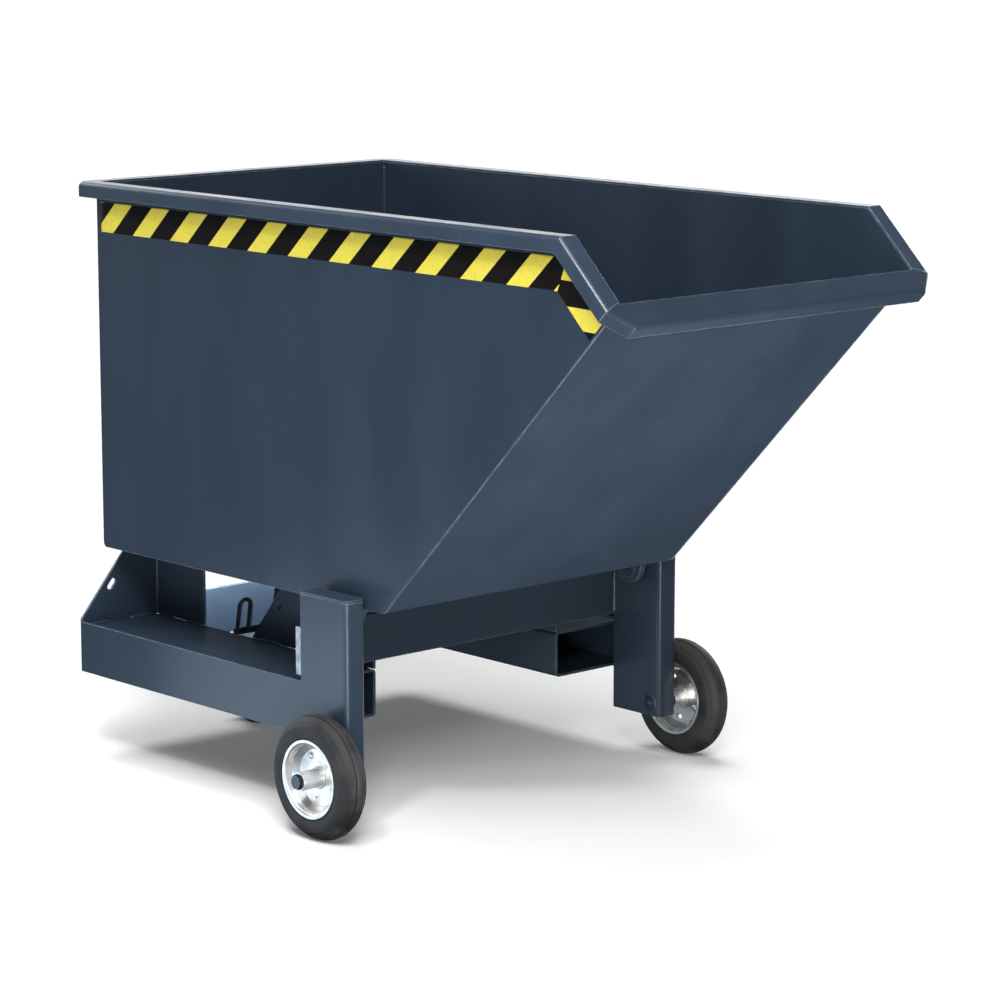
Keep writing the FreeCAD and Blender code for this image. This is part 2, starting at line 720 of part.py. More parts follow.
def castor_swivel(parts):
    """Folded fork that turns under the race, with the wheel's axle bolt."""
    crown_top = castor_seat - castor_plate_sheet - castor_race_height
    half = castor_hub_length / 2 + side_play + castor_fork_sheet
    low = castor_axle_z - castor_fork_eye
    front = castor_axis_x + castor_fork_half_length
    rear = castor_axle_x - castor_fork_eye
    path = [(half, low), (half, crown_top), (-half, crown_top), (-half, low)]
    fork = folded(path, "yz", rear, front, castor_fork_sheet, castor_fork_bend)
    skirt_z = crown_top - castor_fork_skirt
    back = castor_axis_x - castor_fork_half_length
    side = [(front, crown_top), (back, crown_top), (castor_axle_x - castor_fork_eye, castor_axle_z),
            ((castor_axle_x, low), (castor_axle_x + castor_fork_eye, castor_axle_z)), (front, skirt_z)]
    fork = fork.common(plate(side, "xz", -half, half))
    fork = fork.cut(rod(castor_kingpin_diameter + 2 * running_clearance,
                        Vector(castor_axis_x, 0, crown_top - castor_fork_sheet), along_z, castor_fork_sheet))
    axle_start = Vector(castor_axle_x, -half, castor_axle_z)
    fork = fork.cut(rod(castor_axle_diameter, axle_start, along_y, 2 * half))
    parts["castor_fork"] = fork
    bolt_start = Vector(castor_axle_x, -half - castor_axle_head, castor_axle_z)
    shank = rod(castor_axle_diameter, bolt_start, along_y, 2 * half + 2 * castor_axle_head)
    heads = [hexagon(castor_axle_flats, Vector(castor_axle_x, y, castor_axle_z), along_y, castor_axle_head)
             for y in (-half - castor_axle_head, half)]
    parts["castor_axle"] = shank.fuse(heads)


def castor_wheel(parts):
    """Castor wheel: moulded core with a web and a hub, and a rubber tyre."""
    centre = Vector(castor_axle_x, 0, castor_axle_z)
    outer = castor_diameter / 2
    seat = outer - castor_tyre_depth
    half = castor_tyre_width / 2
    rim_low = seat - castor_shoulder
    hub = castor_hub_length / 2
    bore = castor_axle_diameter / 2 + running_clearance
    hub_r = castor_hub_diameter / 2
    web = castor_web / 2
    core = spun([(-hub, bore), (hub, bore), (hub, hub_r), (web, hub_r), (web, rim_low), (half, rim_low),
                 (half, seat), (-half, seat), (-half, rim_low), (-web, rim_low), (-web, hub_r),
                 (-hub, hub_r)], centre)
    parts["castor_core"] = core
    edge = half - castor_shoulder
    shoulder = outer - castor_shoulder / 2
    corner = castor_shoulder * (1 - cos(pi / 4))
    tyre = spun([(-half, seat), (half, seat), (half, shoulder - castor_shoulder),
                 ((half - corner, shoulder - corner), (edge, shoulder)), ((0, outer), (-edge, shoulder)),
                 ((-half + corner, shoulder - corner), (-half, shoulder - castor_shoulder))], centre)
    parts["castor_tyre"] = tyre


def latch(parts):
    """Latch ears, and the cross shaft with hook and pull loop, turned to the released position; striker."""
    inner = latch_ear_gap / 2
    outer = inner + latch_ear_sheet
    foot = latch_ear_radius
    steps = [(latch_x - foot, seat_top), (latch_x + foot, seat_top), (latch_x + foot, latch_z),
             ((latch_x, latch_z + foot), (latch_x - foot, latch_z))]
    ears = []
    for low, high in ((-outer, -inner), (inner, outer)):
        ear = plate(steps, "xz", low, high)
        bore = latch_shaft_diameter + 2 * running_clearance
        ears.append(ear.cut(rod(bore, Vector(latch_x, low, latch_z), along_y, latch_ear_sheet)))
    parts["latch_ears"] = group(*ears)

    loop_out = -loop_from_centre - loop_width / 2
    loop_in = -loop_from_centre + loop_width / 2
    shaft_start = loop_out - loop_rod / 2
    shaft_end = outer + loop_rod / 2
    shaft = rod(latch_shaft_diameter, Vector(latch_x, shaft_start, latch_z), along_y, shaft_end - shaft_start)

    arm_rear = latch_x - hook_arm_width / 2
    arm_front = latch_x + hook_arm_width / 2
    nose_low = striker_z + striker_diameter / 2 + hook_play
    nose_tip = arm_rear - hook_nose_length
    nose_top = nose_low + hook_nose_depth
    half = hook_thickness / 2
    arm = box(arm_rear, arm_front, -half, half, latch_z, nose_top)
    arm = arm.fuse(rod(2 * hook_hub_radius, Vector(latch_x, -half, latch_z), along_y, hook_thickness))
    arm = arm.cut(rod(latch_shaft_diameter, Vector(latch_x, -half, latch_z), along_y, hook_thickness))
    nose = plate([(nose_tip, nose_low), (arm_rear, nose_low), (arm_rear, nose_top),
                  (nose_tip + hook_nose_depth / 2, nose_top)], "xz", -half, half)

    bow = loop_width / 2
    top = latch_z + loop_height - bow

    def spot(y, z):
        return Vector(latch_x, y, z)

    edges = [Part.makeLine(spot(loop_out, latch_z), spot(loop_out, top)),
             Part.Arc(spot(loop_out, top), spot(-loop_from_centre, top + bow), spot(loop_in, top)).toShape(),
             Part.makeLine(spot(loop_in, top), spot(loop_in, latch_z))]
    section = Part.Wire(Part.makeCircle(loop_rod / 2, spot(loop_out, latch_z), along_z))
    loop = Part.Wire(edges).makePipeShell([section], True, False).cut(shaft)

    turning = {"latch_shaft": shaft, "latch_hook": group(arm.removeSplitter(), nose), "latch_loop": loop}
    for name, shape in turning.items():
        shape.rotate(Vector(latch_x, 0, latch_z), along_y, latch_release_angle)
        parts[name] = shape

    cheek_in = striker_cheek_gap / 2
    cheek_out = cheek_in + striker_cheek_sheet
    r = striker_cheek_radius
    steps = [(striker_x - r, striker_z), ((striker_x, striker_z - r), (striker_x + r, striker_z)),
             (striker_x + r, floor_height), (striker_x - r, floor_height)]
    cheeks = []
    for low, high in ((-cheek_out, -cheek_in), (cheek_in, cheek_out)):
        cheek = plate(steps, "xz", low, high)
        cheeks.append(cheek.cut(rod(striker_diameter, Vector(striker_x, low, striker_z), along_y,
                                    striker_cheek_sheet)))
    parts["striker_cheeks"] = group(*cheeks)
    bar_start = Vector(striker_x, -cheek_out, striker_z)
    parts["striker_bar"] = rod(striker_diameter, bar_start, along_y, 2 * cheek_out)


def main():
    """Build every piece, move it to the trolley's own origin and write it out."""
    parts = {}
    for section in (bin_panels, bin_rim, hazard_tape, push_handle, side_plates, fork_pockets, cross_members,
                    bin_supports, tipping_pivot, fixed_wheels, castor_mount, castor_swivel, castor_wheel,
                    latch):
        section(parts)
    os.makedirs("parts", exist_ok=True)
    for name, shape in parts.items():
        shape.translate(Vector(-overall_middle, 0, 0))
        shape.exportStep("parts/" + name + ".step")
        print(name, len(shape.Solids), "solids", round(shape.Volume, 1), "valid", shape.isValid())
    print(len(parts), "pieces")


main()
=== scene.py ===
"""Looks of the tipping skip trolley: finishes, tyres, tape, rivets, weld seams and the studio around it."""
import json
import logging
from collections.abc import Callable
from dataclasses import dataclass, field, replace
from enum import Enum
from functools import partial

import bpy
import numpy as np
from bpy.types import Material, Node, NodeSocket, NodeTree, Object
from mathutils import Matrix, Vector


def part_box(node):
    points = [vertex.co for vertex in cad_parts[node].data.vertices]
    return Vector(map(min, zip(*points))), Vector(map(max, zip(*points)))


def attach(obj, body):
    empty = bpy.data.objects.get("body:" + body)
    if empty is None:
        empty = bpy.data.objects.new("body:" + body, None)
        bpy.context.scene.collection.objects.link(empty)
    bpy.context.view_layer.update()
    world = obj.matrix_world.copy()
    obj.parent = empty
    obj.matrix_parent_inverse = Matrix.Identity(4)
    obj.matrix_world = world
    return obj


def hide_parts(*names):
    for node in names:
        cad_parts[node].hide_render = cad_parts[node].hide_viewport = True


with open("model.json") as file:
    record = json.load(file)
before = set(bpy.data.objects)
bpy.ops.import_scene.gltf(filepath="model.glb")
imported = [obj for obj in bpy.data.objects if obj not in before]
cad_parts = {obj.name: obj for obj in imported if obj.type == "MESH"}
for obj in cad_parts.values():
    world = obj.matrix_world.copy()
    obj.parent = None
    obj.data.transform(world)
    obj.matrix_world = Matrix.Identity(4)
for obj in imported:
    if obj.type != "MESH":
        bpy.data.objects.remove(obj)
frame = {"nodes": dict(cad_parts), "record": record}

LOG = logging.getLogger("skip_trolley")
Pair = tuple[float, float]
Triple = tuple[float, float, float]
MM = 0.001
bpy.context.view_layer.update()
REAR_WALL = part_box("bin_wrap")[0].x


class Side(Enum):
    """Right is the side at -Y, left the side at +Y; the value is the sign of Y."""

    RIGHT = -1
    LEFT = 1

    @property
    def prefix(self) -> str:
        """First part of the names of this side's nodes and bodies."""
        return self.name.lower() + "_"


class Slot(Enum):
    """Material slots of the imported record."""

    PAINT = "paint"
    ZINC = "zinc"
    RUBBER = "rubber"
    PLASTIC = "plastic"
    BEARING = "bearing_plastic"
    BLACKENED = "blackened"
    BRONZE = "bronze"
    TAPE = "tape"


def linear(colour: str) -> tuple[float, float, float, float]:
    """Turns an sRGB hex value into a linear colour.

    Args:
        colour: Six hex digits after a hash sign.

    Returns:
        Red, green, blue and an alpha of one.
    """
    parts = np.array([int(colour[i:i + 2], 16) for i in (1, 3, 5)]) / 255.0
    low = parts / 12.92
    high = ((parts + 0.055) / 1.055) ** 2.4
    red, green, blue = np.where(parts <= 0.04045, low, high)
    return float(red), float(green), float(blue), 1.0


def place(points: np.ndarray) -> np.ndarray:
    """Turns millimetres, with X counted from the bin's rear wall, into the frame's metres.

    Args:
        points: Array whose last axis is x, y, z in millimetres.

    Returns:
        The same points in the row frame.
    """
    return np.asarray(points, float) * MM + np.array([REAR_WALL, 0.0, 0.0])


def add_node(tree: NodeTree, kind: str, inputs: dict | None = None, **settings) -> Node:
    """Adds a shader node with its settings and links.

    Args:
        tree: Node tree of the material or of the sky.
        kind: Blender's class name of the node, after ShaderNode.
        inputs: Socket name or number to a value, to the output socket that feeds it, or to the node
            whose first live output feeds it.
        settings: Properties of the node itself.

    Returns:
        The new node.
    """
    node = tree.nodes.new("ShaderNode" + kind)
    for key, value in settings.items():
        setattr(node, key, value)
    for socket, value in (inputs or {}).items():
        if isinstance(value, Node):
            value = next(output for output in value.outputs if output.enabled)
        if isinstance(value, NodeSocket):
            tree.links.new(value, node.inputs[socket])
        else:
            node.inputs[socket].default_value = value
    return node


@dataclass(frozen=True)
class Finish:
    """A surface finish; each kind dresses the shader in its own way."""

    name: str

    def material(self) -> Material:
        """Makes the material.

        Returns:
            A new material with one dressed shader.
        """
        material = bpy.data.materials.new(self.name)
        material.use_nodes = True
        tree = material.node_tree
        tree.nodes.clear()
        shader = add_node(tree, "BsdfPrincipled", self.dress(partial(add_node, tree)))
        add_node(tree, "OutputMaterial", {"Surface": shader})
        return material

    def dress(self, add: Callable[..., Node]) -> dict:
        """Adds the nodes of this finish; every kind of finish has its own.

        Args:
            add: Adds a node to the material, as add_node does.

        Returns:
            What fills the sockets of the Principled shader.
        """
        raise NotImplementedError


@dataclass(frozen=True)
class PowderCoat(Finish):
    """Satin polyester powder coat on folded steel sheet.

    It gives the eye one dark grey-blue with a slight orange peel, soft broad streaks where the gloss differs and
    whose lighter tone is a painted reflection, edges that are rounded and lighter, partly from wear and partly as a
    painted highlight, and a few short scuffs.
    """

    colour: str = "#293543"
    # Lighter tone of the broad streaks: a painted reflection
    reflection_streak_tone: str = "#2D3A49"
    # Lighter colour of the edges and the scuffs; on the edges it is partly wear and partly a painted highlight
    edge: str = "#8FA0B2"
    # Lighter blue-grey that the ends of a bar are mixed to
    end_tone: str = "#93A0AD"
    edge_radius: float = 2.0 * MM
    edge_wear_and_highlight: float = 0.6
    end_tone_reach: float = 0.0
    gloss: Pair = (0.28, 0.36)
    ior: float = 1.5
    specular: float = 0.45

    def dress(self, add: Callable[..., Node]) -> dict:
        """Mixes streaks (gloss and painted reflection), edges (wear and painted highlight), scuffs and, on a sawn
        bar, lighter ends; add as in Finish.
        """
        edge = linear(self.edge)
        spot = add("TexCoord").outputs["Object"]
        # Broad gloss streaks of the spray booth, 120 mm apart and drawn out along Z; their lighter tone is a
        # painted reflection
        stretch = add("Mapping", {"Vector": spot, "Scale": (1.0, 1.0, 0.22)})
        gloss_and_reflection_streaks = add("TexNoise", {"Vector": stretch, "Scale": 1 / (120 * MM), "Detail": 2.0})
        # Orange peel is about 1.5 mm across; drawn at 5 mm so that it shows in the render
        peel = add("TexNoise", {"Vector": spot, "Scale": 1 / (5 * MM), "Detail": 1.0})
        # Scuffs: thin dashes about 60 mm long and 1.5 mm wide, turned off the vertical
        turned = add("Mapping", {"Vector": spot, "Rotation": (0.5, 0.9, 0.3), "Scale": (40.0, 40.0, 1.0)})
        dashes = add("TexNoise", {"Vector": turned, "Scale": 16.0, "Detail": 0.0})
        scuff = add("MapRange", {"Value": dashes, 1: 0.80, 2: 0.86, 3: 0.0, 4: 0.06})
        # Edges: where the rounded normal leaves the true one, lightened in bites of about 18 mm; the lighter colour
        # is partly wear and partly a painted highlight on the bends
        rounded = add("Bevel", {"Radius": self.edge_radius}, samples=4)
        true = add("NewGeometry")
        turn = add("VectorMath", {0: rounded, 1: true.outputs["Normal"]}, operation="DOT_PRODUCT")
        rim = add("MapRange", {"Value": turn.outputs["Value"], 1: 0.99, 2: 0.80, 3: 0.0, 4: 1.0})
        nibble = add("TexNoise", {"Vector": spot, "Scale": 1 / (18 * MM), "Detail": 4.0})
        bite = add("MapRange", {"Value": nibble, 1: 0.30, 2: 0.72, 3: 0.25, 4: self.edge_wear_and_highlight * 2})
        # Mask of the lighter edges: partly wear, partly a painted highlight
        worn_and_highlit = add("Math", {0: rim, 1: bite}, operation="MULTIPLY", use_clamp=True)
        # The streaks' share of the lighter tone is a painted reflection; the same streaks vary the gloss further
        # down
        share = add("MapRange", {"Value": gloss_and_reflection_streaks, 1: 0.35, 2: 0.65, 3: 0.0, 4: 1.0})
        coat = add("Mix", {0: share, 6: linear(self.colour), 7: linear(self.reflection_streak_tone)}, data_type="RGBA")
        lit = add("Mix", {0: worn_and_highlit, 6: coat, 7: edge}, data_type="RGBA")
        colour = add("Mix", {0: scuff, 6: lit, 7: edge}, data_type="RGBA")
        # Past this reach along Y the bar's ends are mixed, in bites, to a lighter blue-grey
        if self.end_tone_reach > 0:
            along = add("SeparateXYZ", {"Vector": spot})
            reach = add("Math", {0: along.outputs["Y"]}, operation="ABSOLUTE")
            end = add("MapRange", {"Value": reach, 1: self.end_tone_reach - MM, 2: self.end_tone_reach, 3: 0.0, 4: 1.0})
            patchy = add("Math", {0: end, 1: bite}, operation="MULTIPLY", use_clamp=True)
            colour = add("Mix", {0: patchy, 6: colour, 7: linear(self.end_tone)}, data_type="RGBA")
        low, high = self.gloss
        gloss = add("MapRange", {"Value": gloss_and_reflection_streaks, 1: 0.3, 2: 0.7, 3: low, 4: high})
        bump = add("Bump", {"Strength": 0.10, "Distance": 0.3 * MM, "Height": peel, "Normal": rounded})
        return {"Base Color": colour, "Roughness": gloss, "Normal": bump, "IOR": self.ior,
                "Specular IOR Level": self.specular}


@dataclass(frozen=True)
class ZincPlate(Finish):
    """Bright zinc plate on pressed or turned steel.

    It gives the eye a light, nearly white metal with a soft blur, cloudy patches from the bath and
    fine turning marks.
    """

    light: str = "#FAF8F4"
    dull: str = "#E2E1DE"
    blur: Pair = (0.34, 0.50)
    edge_radius: float = 0.6 * MM

    def dress(self, add: Callable[..., Node]) -> dict:
        """Mixes cloudy patches and a fine grain; add as in Finish."""
        spot = add("TexCoord").outputs["Object"]
        # Bath clouds about 14 mm across, grain about 1 mm and drawn at 2.5 mm so that it shows
        clouds = add("TexNoise", {"Vector": spot, "Scale": 1 / (14 * MM), "Detail": 3.0})
        grain = add("TexNoise", {"Vector": spot, "Scale": 1 / (2.5 * MM), "Detail": 2.0})
        share = add("MapRange", {"Value": clouds, 1: 0.35, 2: 0.68, 3: 0.0, 4: 1.0})
        colour = add("Mix", {0: share, 6: linear(self.light), 7: linear(self.dull)}, data_type="RGBA")
        low, high = self.blur
        blur = add("MapRange", {"Value": clouds, 1: 0.3, 2: 0.7, 3: low, 4: high})
        rounded = add("Bevel", {"Radius": self.edge_radius}, samples=4)
        bump = add("Bump", {"Strength": 0.12, "Distance": 0.15 * MM, "Height": grain, "Normal": rounded})
        return {"Base Color": colour, "Roughness": blur, "Normal": bump, "Metallic": 1.0}


@dataclass(frozen=True)
class SolidRubber(Finish):
    """Moulded solid rubber.

    It gives the eye a matt grey-black with a dusty bloom and the fine grain of the mould.
    """

    dark: str = "#171718"
    bloom: str = "#343435"
    matt: Pair = (0.62, 0.78)
    ior: float = 1.52

    def dress(self, add: Callable[..., Node]) -> dict:
        """Mixes the bloom and the mould grain; add as in Finish."""
        spot = add("TexCoord").outputs["Object"]
        # Bloom in patches of 30 mm; grain of the mould 0.8 mm, drawn at 2 mm so that it shows
        patches = add("TexNoise", {"Vector": spot, "Scale": 1 / (30 * MM), "Detail": 4.0})
        grain = add("TexNoise", {"Vector": spot, "Scale": 1 / (2 * MM), "Detail": 2.0})
        share = add("MapRange", {"Value": patches, 1: 0.35, 2: 0.75, 3: 0.0, 4: 0.8})
        colour = add("Mix", {0: share, 6: linear(self.dark), 7: linear(self.bloom)}, data_type="RGBA")
        low, high = self.matt
        matt = add("MapRange", {"Value": patches, 1: 0.3, 2: 0.7, 3: low, 4: high})
        bump = add("Bump", {"Strength": 0.15, "Distance": 0.2 * MM, "Height": grain})
        return {"Base Color": colour, "Roughness": matt, "Normal": bump, "IOR": self.ior}


@dataclass(frozen=True)
class StripedTape(Finish):
    """Printed and laminated hazard tape, its UV map in metres along and across the tape.

    It gives the eye slanted yellow and black bands with a faint cell pattern under a clear film.
    """

    yellow: str = "#DCCF4C"
    shade: str = "#B9A936"
    black: str = "#141112"
    period: float = 101.4 * MM
    yellow_share: float = 0.465
    lean: float = 1.08
    gloss: Pair = (0.30, 0.48)
    ior: float = 1.49
    specular: float = 0.3

    def dress(self, add: Callable[..., Node]) -> dict:
        """Draws the bands, the film's cells and its slight waves; add as in Finish."""
        flat = add("TexCoord").outputs["UV"]
        parts = add("SeparateXYZ", {"Vector": flat})
        lean = add("Math", {0: parts.outputs["Y"], 1: -self.lean, 2: parts.outputs["X"]},
                   operation="MULTIPLY_ADD")
        turns = add("Math", {0: lean, 1: self.period}, operation="DIVIDE")
        phase = add("Math", {0: turns}, operation="FRACT")
        band = add("Math", {0: phase, 1: self.yellow_share}, operation="LESS_THAN")
        # Reflective cells are about 3 mm across, waves in the film about 25 mm
        cells = add("TexVoronoi", {"Vector": flat, "Scale": 1 / (3.2 * MM)}, feature="DISTANCE_TO_EDGE")
        net = add("MapRange", {"Value": cells, 1: 0.02, 2: 0.16, 3: 1.0, 4: 0.0})
        waves = add("TexNoise", {"Vector": flat, "Scale": 1 / (25 * MM), "Detail": 3.0})
        tone = add("Math", {0: net, 1: waves}, operation="MULTIPLY", use_clamp=True)
        lively = add("Mix", {0: tone, 6: linear(self.yellow), 7: linear(self.shade)}, data_type="RGBA")
        colour = add("Mix", {0: band, 6: linear(self.black), 7: lively}, data_type="RGBA")
        low, high = self.gloss
        gloss = add("MapRange", {"Value": waves, 1: 0.3, 2: 0.7, 3: low, 4: high})
        bump = add("Bump", {"Strength": 0.12, "Distance": 0.15 * MM, "Height": waves})
        return {"Base Color": colour, "Roughness": gloss, "Normal": bump, "IOR": self.ior,
                "Specular IOR Level": self.specular}


@dataclass(frozen=True)
class Moulding(Finish):
    """Injection moulded nylon, or blackened steel and sintered bronze with the metallic value raised.

    It gives the eye an even body with a fine grain and soft highlights on its edges.
    """

    body: str = "#242527"
    rubbed: str = "#3C3E41"
    metallic: float = 0.0
    rough: float = 0.5
    spread: float = 0.08
    edge_radius: float = 0.6 * MM

    def dress(self, add: Callable[..., Node]) -> dict:
        """Mixes rubbed patches and the grain; add as in Finish."""
        spot = add("TexCoord").outputs["Object"]
        # Rubbed patches about 12 mm across; grain 0.5 mm, drawn at 1.5 mm so that it shows
        patches = add("TexNoise", {"Vector": spot, "Scale": 1 / (12 * MM), "Detail": 3.0})
        grain = add("TexNoise", {"Vector": spot, "Scale": 1 / (1.5 * MM), "Detail": 1.0})
        share = add("MapRange", {"Value": patches, 1: 0.4, 2: 0.75, 3: 0.0, 4: 0.7})
        colour = add("Mix", {0: share, 6: linear(self.body), 7: linear(self.rubbed)}, data_type="RGBA")
        blur = add("MapRange", {"Value": patches, 1: 0.3, 2: 0.7, 3: self.rough - self.spread,
                                4: self.rough + self.spread})
        rounded = add("Bevel", {"Radius": self.edge_radius}, samples=4)
        bump = add("Bump", {"Strength": 0.1, "Distance": 0.1 * MM, "Height": grain, "Normal": rounded})
        return {"Base Color": colour, "Roughness": blur, "Normal": bump, "Metallic": self.metallic}


@dataclass(frozen=True)
class StudioPaper(Finish):
    """Matt white floor paper: an even pale ground with a hardly visible tooth and a faint glow of its own."""

    white: str = "#FEFEFE"
    glow: float = 0.12
    rough: float = 0.9
    specular: float = 0.1

    def dress(self, add: Callable[..., Node]) -> dict:
        """Sets a matt white with a fine tooth, 4 mm across so that it shows; add as in Finish."""
        spot = add("TexCoord").outputs["Object"]
        tooth = add("TexNoise", {"Vector": spot, "Scale": 1 / (4 * MM), "Detail": 1.0})
        bump = add("Bump", {"Strength": 0.05, "Distance": 0.1 * MM, "Height": tooth})
        return {"Base Color": linear(self.white), "Emission Color": linear(self.white),
                "Emission Strength": self.glow, "Roughness": self.rough,
                "Specular IOR Level": self.specular, "Normal": bump}


@dataclass
class Grid:
    """A surface as a grid of points, in metres.

    Attributes:
        points: Array of shape (rows, columns, 3).
        wrap_rows: The last row joins the first.
        wrap_columns: The last column joins the first.
        cap_rows: The first and last row are closed with a face each.
        uv: Optional flat coordinates of shape (rows, columns, 2).
    """

    points: np.ndarray
    wrap_rows: bool = False
    wrap_columns: bool = False
    cap_rows: bool = False
    uv: np.ndarray | None = None

    def quads(self, start: int) -> np.ndarray:
        """Corner numbers of the grid's faces: each point joins its neighbours in the next row and column.

        Args:
            start: Number of the grid's first point in the whole mesh.

        Returns:
            Array of shape (faces, 4).
        """
        rows, columns = self.points.shape[:2]
        row = np.arange(rows if self.wrap_rows else rows - 1)[:, None]
        column = np.arange(columns if self.wrap_columns else columns - 1)[None, :]
        below, right = (row + 1) % rows, (column + 1) % columns
        corners = (row * columns + column, row * columns + right, below * columns + right, below * columns + column)
        return start + np.stack([np.broadcast_to(c, (row.size, column.size)) for c in corners], -1).reshape(-1, 4)

    def caps(self, start: int) -> list[list[int]]:
        """Faces that close the first and the last row.

        Args:
            start: Number of the grid's first point in the whole mesh.

        Returns:
            No face, or two.
        """
        rows, columns = self.points.shape[:2]
        if not self.cap_rows:
            return []
        ring = np.arange(columns)
        return [(start + ring[::-1]).tolist(), (start + (rows - 1) * columns + ring).tolist()]


def build_piece(name: str, grids: list[Grid], material: Material, body: str,
                stands_for: tuple[str, ...] = ()) -> Object:
    """Makes one object from grids, dresses it and lets it ride on a body.

    Args:
        name: Name of the piece.
        grids: Surfaces in the row frame.
        material: Finish of the piece.
        body: Body of the frame that carries it.
        stands_for: Nodes of the frame that the piece replaces.

    Returns:
        The new object.
    """
    starts = np.cumsum([0] + [g.points.shape[0] * g.points.shape[1] for g in grids[:-1]])
    faces: list[list[int]] = []
    for grid, start in zip(grids, starts):
        faces += grid.quads(int(start)).tolist() + grid.caps(int(start))
    mesh = bpy.data.meshes.new(name)
    mesh.from_pydata(np.concatenate([g.points.reshape(-1, 3) for g in grids]).tolist(), [], faces)
    mesh.polygons.foreach_set("use_smooth", np.ones(len(mesh.polygons), bool))
    if grids[0].uv is not None:
        flat = np.concatenate([g.uv.reshape(-1, 2) for g in grids])
        corner = np.empty(len(mesh.loops), np.int32)
        mesh.loops.foreach_get("vertex_index", corner)
        mesh.uv_layers.new(name="tape").data.foreach_set("uv", flat[corner].astype(np.float32).ravel())
    mesh.validate()
    mesh.update()
    mesh.materials.append(material)
    piece = bpy.data.objects.new(name, mesh)
    bpy.context.scene.collection.objects.link(piece)
    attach(piece, body)
    if stands_for:
        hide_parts(*stands_for)
    LOG.info("%s: %d faces on %s", name, len(faces), body)
    return piece


def arc(first: Pair, through: Pair, last: Pair,
        count: int) -> np.ndarray:
    """Points of the circle through three points, from the first to the last.

    The centre is where the perpendicular bisectors meet; the points are evenly spaced in angle.

    Args:
        first: Start point.
        through: Any point between.
        last: End point.
        count: Number of points.

    Returns:
        Array of shape (count, 2).
    """
    a, b, c = (np.array(p, float) for p in (first, through, last))
    lines = 2 * np.array([b - a, c - a])
    centre = np.linalg.solve(lines, [b @ b - a @ a, c @ c - a @ a])
    angles = np.unwrap([np.arctan2(*(p - centre)[::-1]) for p in (a, b, c)])
    turn = np.linspace(angles[0], angles[2], count)
    return centre + np.linalg.norm(a - centre) * np.stack([np.cos(turn), np.sin(turn)], -1)


def revolve(section: np.ndarray, centre: np.ndarray, steps: int) -> np.ndarray:
    """Turns a section about an axle along Y: x and z follow the circle of each radius, y the axial place.

    Args:
        section: Axial and radial coordinates in millimetres, shape (points, 2).
        centre: Middle of the axle, in millimetres from the rear wall.
        steps: Number of steps round the axle.

    Returns:
        Points in the row frame, shape (steps, points, 3).
    """
    turn = np.linspace(0, 2 * np.pi, steps, endpoint=False)[:, None]
    axial, radial = section[None, :, 0], section[None, :, 1]
    across = np.broadcast_to(axial, (steps, len(section)))
    ring = np.stack([radial * np.cos(turn), across, radial * np.sin(turn)], -1)
    return place(ring + np.asarray(centre, float))


@dataclass
class HazardTape:
    """Striped tape on the side walls: one length along the top and one down the slanted mouth.

    Lengths are in millimetres; foot is the height of the tape's edge over the wall.
    """

    finish: Material
    wall: float = 315.0
    thickness: float = 0.4
    foot: float = 0.02
    edge: float = 0.4
    edge_step: float = 3.0
    width: float = 50.0
    rear_margin: float = 12.0
    front_margin: float = 1.5
    rim_top: float = 976.0
    below_rim: float = 33.5
    mouth_length: float = 132.0
    mouth_corner: float = 1154.39
    slope: float = np.radians(45.6)
    level_phase: float = 2.1
    mouth_phase: float = 52.7

    def inset(self) -> np.ndarray:
        """Places across the tape, close together at both edges, in millimetres."""
        inner = np.linspace(self.edge_step, self.width - self.edge_step, 8)
        return np.concatenate([[0.0, self.edge], inner, [self.width - self.edge, self.width]])

    def strip(self, along: np.ndarray, side: Side, start: np.ndarray, way: np.ndarray, phase: float) -> Grid:
        """One length of tape as a function of its run u and width v.

        The place is start + u * way + v * up, where up is square to the run; the height over the wall
        is the tape's thickness, falling off in the last half millimetre at each edge.

        Args:
            along: Run at each of the points, shape (rows, columns), in millimetres.
            side: Side of the trolley.
            start: X and Z of the lower edge where the run is nought.
            way: Unit direction of the run in X and Z.
            phase: Shift of the stripes along the run.

        Returns:
            The strip's surface with its flat coordinates.
        """
        inset = self.inset()
        across = np.broadcast_to(inset, along.shape)
        up = np.array([-way[1], way[0]])
        raised = (inset > 0) & (inset < self.width)
        lift = np.broadcast_to(np.where(raised, self.thickness, self.foot), along.shape).copy()
        lift[[0, -1]] = self.foot
        flat = start + along[..., None] * way + across[..., None] * up
        y = side.value * (self.wall + lift)
        points = place(np.stack([flat[..., 0], y, flat[..., 1]], -1))
        # On the left wall the roll runs the other way, so the stripes lean the same way to the eye
        run = (along + phase) * -side.value
        uv = np.stack([run, across], -1) * MM
        if side is Side.LEFT:
            points, uv = points[::-1], uv[::-1]
        return Grid(points, uv=uv)

    def build(self, side: Side) -> None:
        """Builds both lengths on one wall, mitred where they meet.

        Args:
            side: Side of the trolley.
        """
        turn = np.tan((np.pi / 2 - self.slope) / 2)
        low = self.rim_top - self.below_rim - self.width
        across = self.inset()
        mitre = self.mouth_corner - (self.below_rim + self.width - across) * turn
        share = np.concatenate([[0.0, 0.0006], np.linspace(0.01, 0.99, 60), [0.9994, 1.0]])[:, None]
        level = self.rear_margin + share * (mitre[None, :] - self.rear_margin)
        down = np.array([np.sin(self.slope), -np.cos(self.slope)])
        corner = np.array([mitre[0], low])
        end = self.mouth_length - (self.below_rim + self.width) * turn - self.front_margin
        skew = across * turn
        run = -skew[None, :] + share[::4] * (end + skew[None, :])
        grids = [self.strip(level, side, np.array([0.0, low]), np.array([1.0, 0.0]), self.level_phase),
                 self.strip(run, side, corner, down, self.mouth_phase + self.width * turn)]
        node = side.prefix + "hazard_tape"
        build_piece(side.prefix + "striped_tape", grids, self.finish, "bin", (node,))


